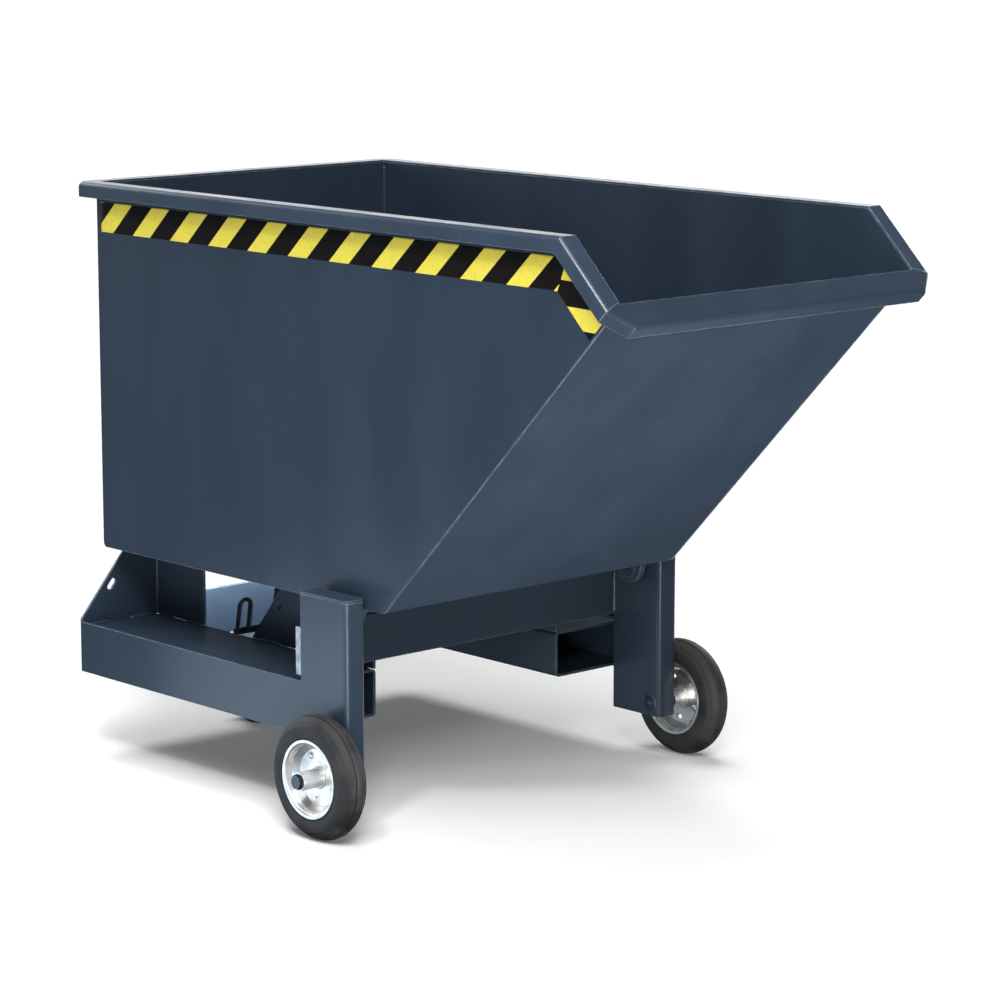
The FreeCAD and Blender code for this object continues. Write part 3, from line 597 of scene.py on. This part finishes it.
@dataclass
class FixedWheel:
    """One fixed wheel: moulded tyre, rivet heads, hub welds and the ring nut at the axle's end.

    Lengths are in millimetres. A groove has its middle, half width and depth, and the relief is the
    height of the tyre's rib, lip and fine rings.
    """

    rubber: Material
    zinc: Material
    blackened: Material
    axle_x: float = 675.0
    axle_z: float = 100.0
    middle: float = 399.3
    outer: float = 100.0
    half: float = 25.0
    seat: float = 57.5
    bead: float = 22.0
    bead_top: float = 63.5
    shoulder: Pair = (18.0, 90.0)
    groove: Triple = (8.0, 1.2, 2.0)
    fine_rings: Pair = (72.0, 83.0)
    relief: Triple = (0.5, 0.7, 0.35)
    web: float = 2.5
    hub: float = 15.0
    hub_reach: float = 43.5
    hub_weld: float = 3.0
    bore: float = 10.0
    nut_radius: float = 12.0
    nut_play: float = 0.3
    nut_depth: float = 4.5
    spacer_radius: float = 16.0
    spacer_depth: float = 6.0
    rivet_circle: float = 37.0
    rivet_turn: float = np.radians(47.0)
    rivets: int = 5
    rivet_head: Pair = (6.0, 4.0)
    side_outer: float = 363.0

    def centre(self, side: Side) -> np.ndarray:
        """Middle of the wheel, in millimetres from the rear wall."""
        return np.array([self.axle_x, side.value * self.middle, self.axle_z])

    def tyre_section(self) -> np.ndarray:
        """Closed section of the tyre, axial and radial.

        Two side arcs and a crown arc run from bead to bead, blurred by a short running mean so that
        the shoulders are round. Moulded rings are added along the section's normal: a lip beside the
        flange, two fine rings on the sidewall, a rib at each shoulder and two grooves in the tread.

        Returns:
            Array of shape (points, 2) in millimetres.
        """
        # The arcs stay just inside the tyre's width and radius, which the clips below hold
        waist = (self.half - 0.1, (self.bead_top + self.shoulder[1]) / 2)
        side = arc((self.bead, self.bead_top), waist, self.shoulder, 70)
        crown = arc(self.shoulder, (0.0, self.outer - 0.25), (-self.shoulder[0], self.shoulder[1]), 130)
        line = np.concatenate([side[:-1], crown, side[::-1][1:] * [-1, 1]])
        kernel = np.ones(9) / 9
        soft = np.stack([np.convolve(np.pad(line[:, i], 4, mode="edge"), kernel, "valid") for i in (0, 1)], -1)
        along = np.gradient(soft, axis=0)
        normal = np.stack([along[:, 1], -along[:, 0]], -1) / np.linalg.norm(along, axis=1)[:, None]
        w, r = np.abs(soft[:, 0]), soft[:, 1]
        offset, half_width, depth = self.groove
        tread = np.exp(-((w - offset) / half_width) ** 6) * (r > self.shoulder[1])
        rib = np.exp(-((r - self.shoulder[1] - 0.5) / 1.3) ** 2)
        lip = np.exp(-((r - self.bead_top - 2.5) / 1.6) ** 4)
        rings = sum(np.exp(-((r - radius) / 0.7) ** 2) for radius in self.fine_rings)
        rib_height, lip_height, ring_height = self.relief
        lift = rib_height * rib + lip_height * lip + ring_height * rings * (w > 12) - depth * tread
        skin = soft + normal * lift[:, None]
        skin[:, 0] = np.clip(skin[:, 0], -self.half, self.half)
        skin[:, 1] = np.minimum(skin[:, 1], self.outer - 0.05)
        foot = np.array([[-self.bead, self.seat + 2], [-self.bead + 2, self.seat], [self.bead - 2, self.seat],
                         [self.bead, self.seat + 2]])
        return np.concatenate([skin, foot])

    def dome(self, base: np.ndarray, outward: float) -> Grid:
        """A rivet head: the radius falls as the root of one minus the squared height, like a flattened ball.

        Args:
            base: Middle of the head's foot, in millimetres.
            outward: Sign of Y to which the head points.

        Returns:
            The head's surface with its pole closed.
        """
        radius, height = self.rivet_head
        rise = np.sin(np.linspace(0, np.pi / 2 * 0.97, 8))
        section = np.stack([outward * rise * height, radius * np.sqrt(1 - rise ** 2)], -1)
        points = revolve(section, base, 20)
        order = np.swapaxes(points, 0, 1)
        return Grid(order if outward > 0 else order[:, ::-1], wrap_columns=True, cap_rows=True)

    def nut_grid(self, side: Side) -> Grid:
        """Ring nut with four spanner slots: the rim's radius drops by a smooth pulse at each quarter turn.

        Args:
            side: Side of the trolley.

        Returns:
            The nut's closed surface.
        """
        low = self.middle + self.hub_reach + self.nut_play
        high, bore, rim = low + self.nut_depth, self.bore, self.nut_radius
        section = np.array([[low, bore], [low, rim - 0.7], [low + 0.6, rim], [high - 0.9, rim], [high, rim - 0.9],
                            [high, bore]])
        turn = np.linspace(0, 2 * np.pi, 96, endpoint=False)
        # Each slot reaches 0.2 rad to both sides and is 1.5 mm deep
        near = np.abs((turn + np.pi / 4) % (np.pi / 2) - np.pi / 4)
        pulse = 1.0 / (1.0 + np.exp((near - 0.2) * 60))
        axial, radial = section[:, 0], section[:, 1]
        r = radial[None, :] - pulse[:, None] * np.clip(radial - bore - 0.2, 0, 1.5)[None, :]
        spin = turn[:, None]
        ring = np.stack([r * np.cos(spin), np.broadcast_to(axial * side.value, r.shape), r * np.sin(spin)], -1)
        points = place(ring + np.array([self.axle_x, 0.0, self.axle_z]))
        return Grid(points if side is Side.LEFT else points[:, ::-1], wrap_rows=True, wrap_columns=True)

    def spacer_grid(self, side: Side) -> Grid:
        """Spacer ring between post and hub: a square section with small chamfers, turned about the axle.

        Args:
            side: Side of the trolley.

        Returns:
            The ring's closed surface.
        """
        low, bore, rim = self.side_outer, self.bore, self.spacer_radius
        high = low + self.spacer_depth
        section = np.array([[low, bore], [low, rim], [high - 0.8, rim], [high, rim - 0.8], [high, bore]])
        points = revolve(section * [side.value, 1], np.array([self.axle_x, 0.0, self.axle_z]), 48)
        return Grid(points if side is Side.LEFT else points[:, ::-1], wrap_rows=True, wrap_columns=True)

    def build(self, side: Side) -> None:
        """Builds and dresses the pieces of one wheel.

        Args:
            side: Side of the trolley.
        """
        body = side.prefix + "wheel"
        centre = self.centre(side)
        skin = Grid(revolve(self.tyre_section(), centre, 160), wrap_rows=True, wrap_columns=True)
        build_piece(side.prefix + "moulded_tyre", [skin], self.rubber, body, (side.prefix + "tyre",))
        turns = self.rivet_turn + np.arange(self.rivets) * 2 * np.pi / self.rivets
        spots = self.rivet_circle * np.stack([np.cos(turns), np.zeros_like(turns), np.sin(turns)], -1)
        faces = [(way, centre + np.array([0.0, way * self.web, 0.0])) for way in (1.0, -1.0)]
        heads = [self.dome(foot + spot, way) for spot in spots for way, foot in faces]
        build_piece(side.prefix + "rivet_heads", heads, self.zinc, body, (side.prefix + "wheel_rivets",))
        bead = WeldBead(self.hub_weld)
        rings = [bead.ring(foot, np.array([0.0, way, 0.0]), self.hub) for way, foot in faces]
        build_piece(side.prefix + "hub_welds", rings, self.zinc, body)
        fittings = [self.nut_grid(side), self.spacer_grid(side)]
        build_piece(side.prefix + "ring_nut", fittings, self.blackened, "chassis",
                    (side.prefix + "axle_nut",))


@dataclass
class WeldBead:
    """A fillet weld: a rounded section in a corner, carried along a line or a ring, with crescent ripples."""

    leg: float = 4.0
    pitch: float = 4.2
    ripple: float = 0.10
    samples: int = 7
    taper: float = 6.0
    flatness: float = 0.8

    def sweep(self, corner: np.ndarray, first: np.ndarray, second: np.ndarray, run: np.ndarray,
              closed: bool) -> Grid:
        """Carries the section along a path.

        At angle t the section's point is leg * (cos(t)^f * first + sin(t)^f * second), with f the flatness:
        a rather flat quarter round. The leg swells and shrinks with the run by a ripple whose phase lags
        in the middle of the section, so the ripples are crescents, and it tapers off at open ends.

        Args:
            corner: Points of the corner line in millimetres, shape (rows, 3).
            first: Unit direction of the first leg at each point.
            second: Unit direction of the second leg at each point.
            run: Distance along the line at each point.
            closed: The line is a ring.

        Returns:
            The bead's closed surface.
        """
        t = np.linspace(0, np.pi / 2, self.samples)
        lag = 0.9 * np.sin(2 * t)[None, :]
        wave = np.cos(2 * np.pi * run[:, None] / self.pitch - lag)
        drift = np.sin(run / 17.0) * 0.05 + np.sin(run / 41.0 + 1.0) * 0.05
        size = self.leg * (1 + self.ripple * wave * np.sin(2 * t)[None, :] + drift[:, None])
        if not closed:
            reach = np.clip(np.minimum(run, run[-1] - run) / self.taper, 0.02, 1.0)
            size = size * np.sqrt(1 - (1 - reach) ** 2)[:, None]
        near, far = (part[None, :, None] ** self.flatness for part in (np.cos(t), np.sin(t)))
        legs = near * first[:, None, :] + far * second[:, None, :]
        skin = corner[:, None, :] + size[..., None] * legs
        points = np.concatenate([skin, corner[:, None, :]], 1)
        step = corner[1] - corner[0]
        if np.dot(np.cross(first[0], second[0]), step) > 0:
            points = points[:, ::-1]
        return Grid(place(points), wrap_rows=closed, wrap_columns=True, cap_rows=not closed)

    def line(self, start: Triple, end: Triple,
             first: Triple, second: Triple) -> Grid:
        """A straight bead.

        Args:
            start: Start of the corner line in millimetres.
            end: End of the corner line.
            first: Direction of the first leg.
            second: Direction of the second leg.

        Returns:
            The bead's surface.
        """
        a, b = np.array(start, float), np.array(end, float)
        length = float(np.linalg.norm(b - a))
        run = np.linspace(0, length, max(8, int(length / self.pitch * 4)))
        corner = a + (run / length)[:, None] * (b - a)
        same = np.ones((len(run), 1))
        return self.sweep(corner, same * np.array(first, float), same * np.array(second, float), run, False)

    def level(self, run: Pair, y: float, z: float, first: Triple,
              second: Triple) -> Grid:
        """A straight bead along X at one Y and Z, with the legs as in line."""
        return self.line((run[0], y, z), (run[1], y, z), first, second)

    def upright(self, x: float, y: float, rise: Pair, first: Triple,
                second: Triple) -> Grid:
        """A straight bead along Z at one X and Y, with the legs as in line."""
        return self.line((x, y, rise[0]), (x, y, rise[1]), first, second)

    def ring(self, centre: np.ndarray, axis: np.ndarray, radius: float) -> Grid:
        """A bead round a bar or disc that stands on a face.

        Args:
            centre: Middle of the ring in millimetres.
            axis: Unit direction away from the face.
            radius: Radius of the bar or disc.

        Returns:
            The bead's surface.
        """
        u = np.cross(axis, [0.3, 0.5, 0.8])
        u /= np.linalg.norm(u)
        v = np.cross(axis, u)
        length = 2 * np.pi * radius
        count = max(24, int(round(length / self.pitch)) * 4)
        turn = np.linspace(0, 2 * np.pi, count, endpoint=False)[:, None]
        out = np.cos(turn) * u + np.sin(turn) * v
        whole = replace(self, pitch=length / max(6, round(length / self.pitch)))
        away = np.repeat(axis[None, :].astype(float), count, 0)
        return whole.sweep(np.asarray(centre, float) + radius * out, away, out, turn[:, 0] * radius, True)


@dataclass
class BinSeams:
    """Weld seams of the bin: inside corners, handle bases, pivot lugs and striker cheeks, in millimetres."""

    finish: Material
    leg: float = 3.6
    inner_half: float = 312.0
    sheet: float = 3.0
    bend: float = 6.0
    floor: float = 359.0
    wall_top: float = 966.0
    slope: float = np.radians(45.6)
    floor_end: float = 730.74
    slope_run: float = 722.0
    wall_steps: int = 460
    floor_steps: int = 560
    handle: Pair = (210.0, 880.0)
    base_radius: float = 32.0
    base_depth: float = 5.0
    tube_radius: float = 13.5
    lug_x: Pair = (604.0, 680.0)
    lug_face: float = 303.0
    underside: float = 356.0
    cheek_x: Pair = (43.0, 66.0)
    cheek_face: float = 24.0

    def inside_line(self) -> tuple[np.ndarray, np.ndarray, np.ndarray]:
        """Corner line of the wrap's inner face: down the rear wall, along the floor and up the chute.

        The straight runs are joined by arcs of the bend's radius; the normal turns with them.

        Returns:
            X and Z along the line, the unit normal into the bin, and the distance run.
        """
        back = self.bend * np.tan(self.slope / 2)
        x0, z0, r = self.sheet, self.floor, self.bend
        few, many = self.wall_steps, self.floor_steps
        down = np.stack([np.full(few, x0), np.linspace(self.wall_top, z0 + r, few)], -1)
        t = np.linspace(np.pi, 1.5 * np.pi, 10)[1:-1]
        turn = np.stack([x0 + r + r * np.cos(t), z0 + r + r * np.sin(t)], -1)
        flat = np.stack([np.linspace(x0 + r, self.floor_end - back, many), np.full(many, z0)], -1)
        s = np.linspace(1.5 * np.pi, 1.5 * np.pi + self.slope, 6)[1:-1]
        bow = np.stack([self.floor_end - back + r * np.cos(s), z0 + r + r * np.sin(s)], -1)
        way = np.array([np.cos(self.slope), np.sin(self.slope)])
        rise = np.array([self.floor_end, z0]) + np.linspace(back, self.slope_run, many)[:, None] * way
        line = np.concatenate([down, turn, flat, bow, rise])
        along = np.gradient(line, axis=0)
        along /= np.linalg.norm(along, axis=1)[:, None]
        normal = np.stack([-along[:, 1], along[:, 0]], -1)
        run = np.concatenate([[0.0], np.cumsum(np.linalg.norm(np.diff(line, axis=0), axis=1))])
        return line, normal, run

    def build(self) -> None:
        """Builds the seams and lets them ride on the bin."""
        bead = WeldBead(self.leg)
        line, normal, run = self.inside_line()
        inside, small = [], []
        for side in Side:
            y = side.value
            corner = np.stack([line[:, 0], np.full(len(line), y * self.inner_half), line[:, 1]], -1)
            inward = np.broadcast_to(np.array([0.0, -float(y), 0.0]), corner.shape)
            into = np.stack([normal[:, 0], np.zeros(len(line)), normal[:, 1]], -1)
            inside.append(bead.sweep(corner, inward, into, run, False))
            reach, height = self.handle
            spot = np.array([0.0, y * reach, height])
            back = np.array([-1.0, 0.0, 0.0])
            small.append(bead.ring(spot, back, self.base_radius))
            small.append(bead.ring(spot + back * self.base_depth, back, self.tube_radius))
            small.append(bead.level(self.lug_x, y * self.lug_face, self.underside, (0, -y, 0), (0, 0, -1)))
            small.append(bead.level(self.cheek_x, y * self.cheek_face, self.underside, (0, y, 0), (0, 0, -1)))
        build_piece("bin_corner_seams", inside, self.finish, "bin")
        build_piece("bin_fitting_welds", small, self.finish, "bin")


@dataclass
class ChassisSeams:
    """Weld seams of the chassis: posts on the front beam, supports on the pockets, rear beam and latch ears."""

    finish: Material
    leg: float = 4.0
    post_rear: float = 586.0
    post_inner: float = 323.0
    beam_rear: float = 574.0
    beam_z: Pair = (243.0, 316.0)
    deck: float = 224.0
    support_face: float = 203.0
    front_stitches: tuple[Pair, ...] = ((285.0, 340.0), (400.0, 455.0), (510.0, 565.0))
    rear_stitches: tuple[Pair, ...] = ((10.0, 50.0), (82.0, 124.0))
    cross_stitches: tuple[Pair, ...] = ((216.0, 262.0), (304.0, 350.0))
    plate: float = -1.0
    pocket_inner: float = 199.0
    seat: float = 165.0
    seat_run: Pair = (7.0, 133.0)
    rear_wall: float = 0.0
    rear_z: Pair = (173.0, 246.0)
    ear_x: Pair = (57.0, 83.0)
    ear_face: float = 20.0

    def build(self) -> None:
        """Builds the seams and lets them ride on the chassis."""
        bead = WeldBead(self.leg)
        beads: list[Grid] = []
        for side in Side:
            y = side.value
            face, inner = y * self.support_face, y * self.pocket_inner
            beads.append(bead.upright(self.post_rear, y * self.post_inner, self.beam_z, (1, 0, 0), (0, -y, 0)))
            beads.append(bead.upright(self.beam_rear, face, self.beam_z, (-1, 0, 0), (0, y, 0)))
            beads += [bead.level(run, face, self.deck, (0, y, 0), (0, 0, 1))
                      for run in self.front_stitches + self.rear_stitches]
            beads += [bead.line((self.plate, y * near, self.deck), (self.plate, y * far, self.deck),
                                (1, 0, 0), (0, 0, 1)) for near, far in self.cross_stitches]
            beads.append(bead.level(self.seat_run, inner, self.seat, (0, -y, 0), (0, 0, 1)))
            beads.append(bead.upright(self.rear_wall, inner, self.rear_z, (0, -y, 0), (1, 0, 0)))
            beads.append(bead.level(self.ear_x, y * self.ear_face, self.seat, (0, y, 0), (0, 0, 1)))
        build_piece("chassis_welds", beads, self.finish, "chassis")


@dataclass
class Wardrobe:
    """All finishes of the trolley, and which node wears which."""

    paint: Material = field(default_factory=PowderCoat("satin_powder_coat_on_sheet").material)
    sawn: Material = field(default_factory=PowderCoat(
        "powder_coat_on_sawn_bar", end_tone_reach=362.5 * MM).material)
    zinc: Material = field(default_factory=ZincPlate("bright_zinc_on_pressed_steel").material)
    rubber: Material = field(default_factory=SolidRubber("moulded_solid_rubber").material)
    nylon: Material = field(default_factory=Moulding("moulded_black_nylon").material)
    blackened: Material = field(default_factory=Moulding(
        "blackened_steel", "#141517", "#2E3033", 0.6, 0.42).material)
    bronze: Material = field(default_factory=Moulding(
        "sintered_bronze", "#9A713C", "#B98E55", 1.0, 0.38).material)
    tape: Material = field(default_factory=StripedTape("laminated_hazard_tape").material)

    def dress_frame(self) -> None:
        """Gives every node of the frame the finish of its material slot."""
        by_slot = {Slot.PAINT: self.paint, Slot.ZINC: self.zinc, Slot.RUBBER: self.rubber,
                   Slot.PLASTIC: self.nylon, Slot.BEARING: self.nylon, Slot.BLACKENED: self.blackened,
                   Slot.BRONZE: self.bronze, Slot.TAPE: self.tape}
        # The bar's ends are mixed, in bites, to a lighter blue-grey, and the pivot pins were painted over with the
        # chassis
        special = {"front_beam": self.sawn, "right_pivot_pin": self.paint, "left_pivot_pin": self.paint}
        for part in frame["record"]["subparts"]:
            node = frame["nodes"][part["node"]]
            finish = special.get(node.name, by_slot[Slot(part["material_slot"])])
            if not node.material_slots:
                node.data.materials.append(finish)
            for slot in node.material_slots:
                slot.material = finish


@dataclass
class Studio:
    """Floor, lights and camera, in metres and degrees."""

    azimuth: float = 47.65
    elevation: float = 10.38
    distance: float = 5.635
    target: Triple = (REAR_WALL + 0.65248, 0.0, 0.4855)
    focal_px: float = 3490.0
    image_px: float = 1000.0
    sensor_mm: float = 36.0
    floor_reach: float = 70.0
    view_reach: float = 200.0
    cool: str = "#D7EBFF"
    sky: str = "#F3F7FC"
    sky_strength: float = 0.06

    def floor(self) -> Object:
        """Lays a large level sheet of paper under the wheels.

        It throws light back onto the trolley, but isn't mirrored in the paint.

        Returns:
            The floor's object.
        """
        mesh = bpy.data.meshes.new("studio_floor")
        reach = self.floor_reach
        corners = [(-reach, -reach, 0), (reach, -reach, 0), (reach, reach, 0), (-reach, reach, 0)]
        mesh.from_pydata(corners, [], [(0, 1, 2, 3)])
        mesh.materials.append(StudioPaper("matt_white_paper").material())
        ground = bpy.data.objects.new("studio_floor", mesh)
        bpy.context.scene.collection.objects.link(ground)
        ground.visible_glossy = False
        return ground

    def lamp(self, name: str, spot: Triple, energy: float, size: float, height: float | None = None,
             aim: Triple | None = None, tint: str = "#FFFFFF", kind: str = "AREA") -> Object:
        """Adds a light that points at the middle of the trolley, or at a place of its own.

        Args:
            name: Name of the light.
            spot: Place of the light in metres.
            energy: Strength in Blender's unit for that kind.
            size: Width of an area light in metres, or angle of a sun in radians.
            height: Height of an area light that isn't square.
            aim: Place that the light points at, if not the middle.
            tint: Colour of the light.
            kind: SUN or AREA.

        Returns:
            The light's object.
        """
        data = bpy.data.lights.new(name, kind)
        data.energy = energy
        data.color = linear(tint)[:3]
        if kind == "SUN":
            data.angle = size
        else:
            data.shape = "RECTANGLE"
            data.size, data.size_y = size, height or size
        lamp = bpy.data.objects.new(name, data)
        lamp.location = spot
        lamp.rotation_euler = (Vector(aim or self.target) - Vector(spot)).to_track_quat("-Z", "Y").to_euler()
        lamp.visible_camera = False
        bpy.context.scene.collection.objects.link(lamp)
        return lamp

    def flag(self, lamp: Object, *shown: Object, spare: bool = False) -> None:
        """Screens a light so that it falls on some objects alone, or on all but those.

        Args:
            lamp: The light.
            shown: The objects.
            spare: True for a light that leaves them out.
        """
        screen = bpy.data.collections.new(lamp.name + "_screen")
        for item in shown:
            screen.objects.link(item)
        for entry in screen.collection_objects:
            entry.light_linking.link_state = "EXCLUDE" if spare else "INCLUDE"
        lamp.light_linking.receiver_collection = screen

    def lights(self, ground: Object) -> None:
        """Sets up the sky, the overhead lights, the soft boxes and the boards, and screens some of them.

        Args:
            ground: The floor, which the boards and the boxes for the far sides leave out.
        """
        nodes = frame["nodes"]
        world = bpy.data.worlds.new("studio_sky")
        world.use_nodes = True
        tree = world.node_tree
        tree.nodes.clear()
        # The backdrop past the floor's end is seen white, but throws only a weak sky light
        weak = add_node(tree, "Background", {"Color": linear(self.sky), "Strength": self.sky_strength})
        white = add_node(tree, "Background", {"Color": linear("#FFFFFF"), "Strength": 1.0})
        seen = add_node(tree, "LightPath").outputs["Is Camera Ray"]
        backdrop = add_node(tree, "MixShader", {0: seen, 1: weak, 2: white})
        add_node(tree, "OutputWorld", {"Surface": backdrop})
        bpy.context.scene.world = world
        self.lamp("overhead_front", (1.5, -1.2, 3.2), 1.4, 0.5, kind="SUN")
        self.lamp("overhead_rear", (-0.6, 0.3, 5.0), 1.75, 0.6, kind="SUN")
        self.lamp("key_box", (2.4, -2.0, 2.5), 58.0, 1.2)
        self.lamp("bend_box", (1.0, -2.0, 2.6), 22.0, 0.3)
        boards = (self.lamp("side_board", (0.25, -0.95, 0.02), 0.7, 0.5, tint=self.cool),
                  self.lamp("skirt_board", (-0.34, -0.80, 0.02), 2.0, 0.8, 0.4, tint=self.cool),
                  self.lamp("camera_board", (1.7, -1.8, 0.05), 9.0, 0.6),
                  self.lamp("left_box", (-0.8, 3.2, 1.5), 70.0, 1.6),
                  self.lamp("rear_box", (-3.5, -0.3, 1.9), 75.0, 1.6))
        for board in boards:
            self.flag(board, ground, spare=True)
        self.flag(self.lamp("left_board", (-0.10, 0.85, 0.02), 2.0, 0.8, 0.4, tint=self.cool),
                  ground, nodes["bin_wrap"], spare=True)
        chassis = [nodes[name] for name in frame["record"]["behaviour"]["bodies"]["chassis"]]
        self.flag(self.lamp("front_board", (1.1, -0.20, 0.03), 15.0, 0.5), ground, *chassis, spare=True)
        self.flag(self.lamp("post_strip", (1.0, -0.95, 0.03), 4.0, 0.15, 0.15, (0.1, 0.0, 0.3)),
                  nodes["right_side_plate"], nodes["left_side_plate"], nodes["front_beam"])
        self.flag(self.lamp("rear_beam_card", (-0.53, -0.04, 0.335), 2.8, 0.34, 0.03, (-0.593, -0.04, 0.19)),
                  nodes["rear_beam"])
        rims = [nodes[name] for name in ("right_rim", "left_rim", "rear_rim", "front_lip")]
        self.flag(self.lamp("rim_strip", (-3.1, 2.9, 1.75), 20.0, 2.8, 0.6), *rims)
        self.flag(self.lamp("leg_strip", (1.0, -2.0, 2.6), 32.0, 0.15), *rims[:2])
        bpy.context.scene.view_settings.view_transform = "Standard"

    def camera(self) -> None:
        """Camera at the photograph's viewing angle."""
        a, e = np.radians(self.azimuth), np.radians(self.elevation)
        back = Vector((np.sin(a) * np.cos(e), -np.cos(a) * np.cos(e), np.sin(e)))
        data = bpy.data.cameras.new("photo_camera")
        data.sensor_fit = "HORIZONTAL"
        data.sensor_width = self.sensor_mm
        data.lens = self.focal_px / self.image_px * self.sensor_mm
        data.clip_end = self.view_reach
        camera = bpy.data.objects.new("photo_camera", data)
        camera.location = Vector(self.target) + back * self.distance
        camera.rotation_euler = back.to_track_quat("Z", "Y").to_euler()
        bpy.context.scene.collection.objects.link(camera)
        bpy.context.scene.camera = camera

    def build(self) -> None:
        """Builds the whole studio."""
        self.lights(self.floor())
        self.camera()


def main() -> None:
    """Builds the sub-assemblies in order and reports each piece."""
    logging.basicConfig(level=logging.INFO, format="%(name)s: %(message)s")
    wardrobe = Wardrobe()
    wardrobe.dress_frame()
    tape = HazardTape(wardrobe.tape)
    wheel = FixedWheel(wardrobe.rubber, wardrobe.zinc, wardrobe.blackened)
    for side in Side:
        tape.build(side)
        wheel.build(side)
    BinSeams(wardrobe.paint).build()
    ChassisSeams(wardrobe.paint).build()
    Studio().build()


if __name__ == "__main__":
    main()
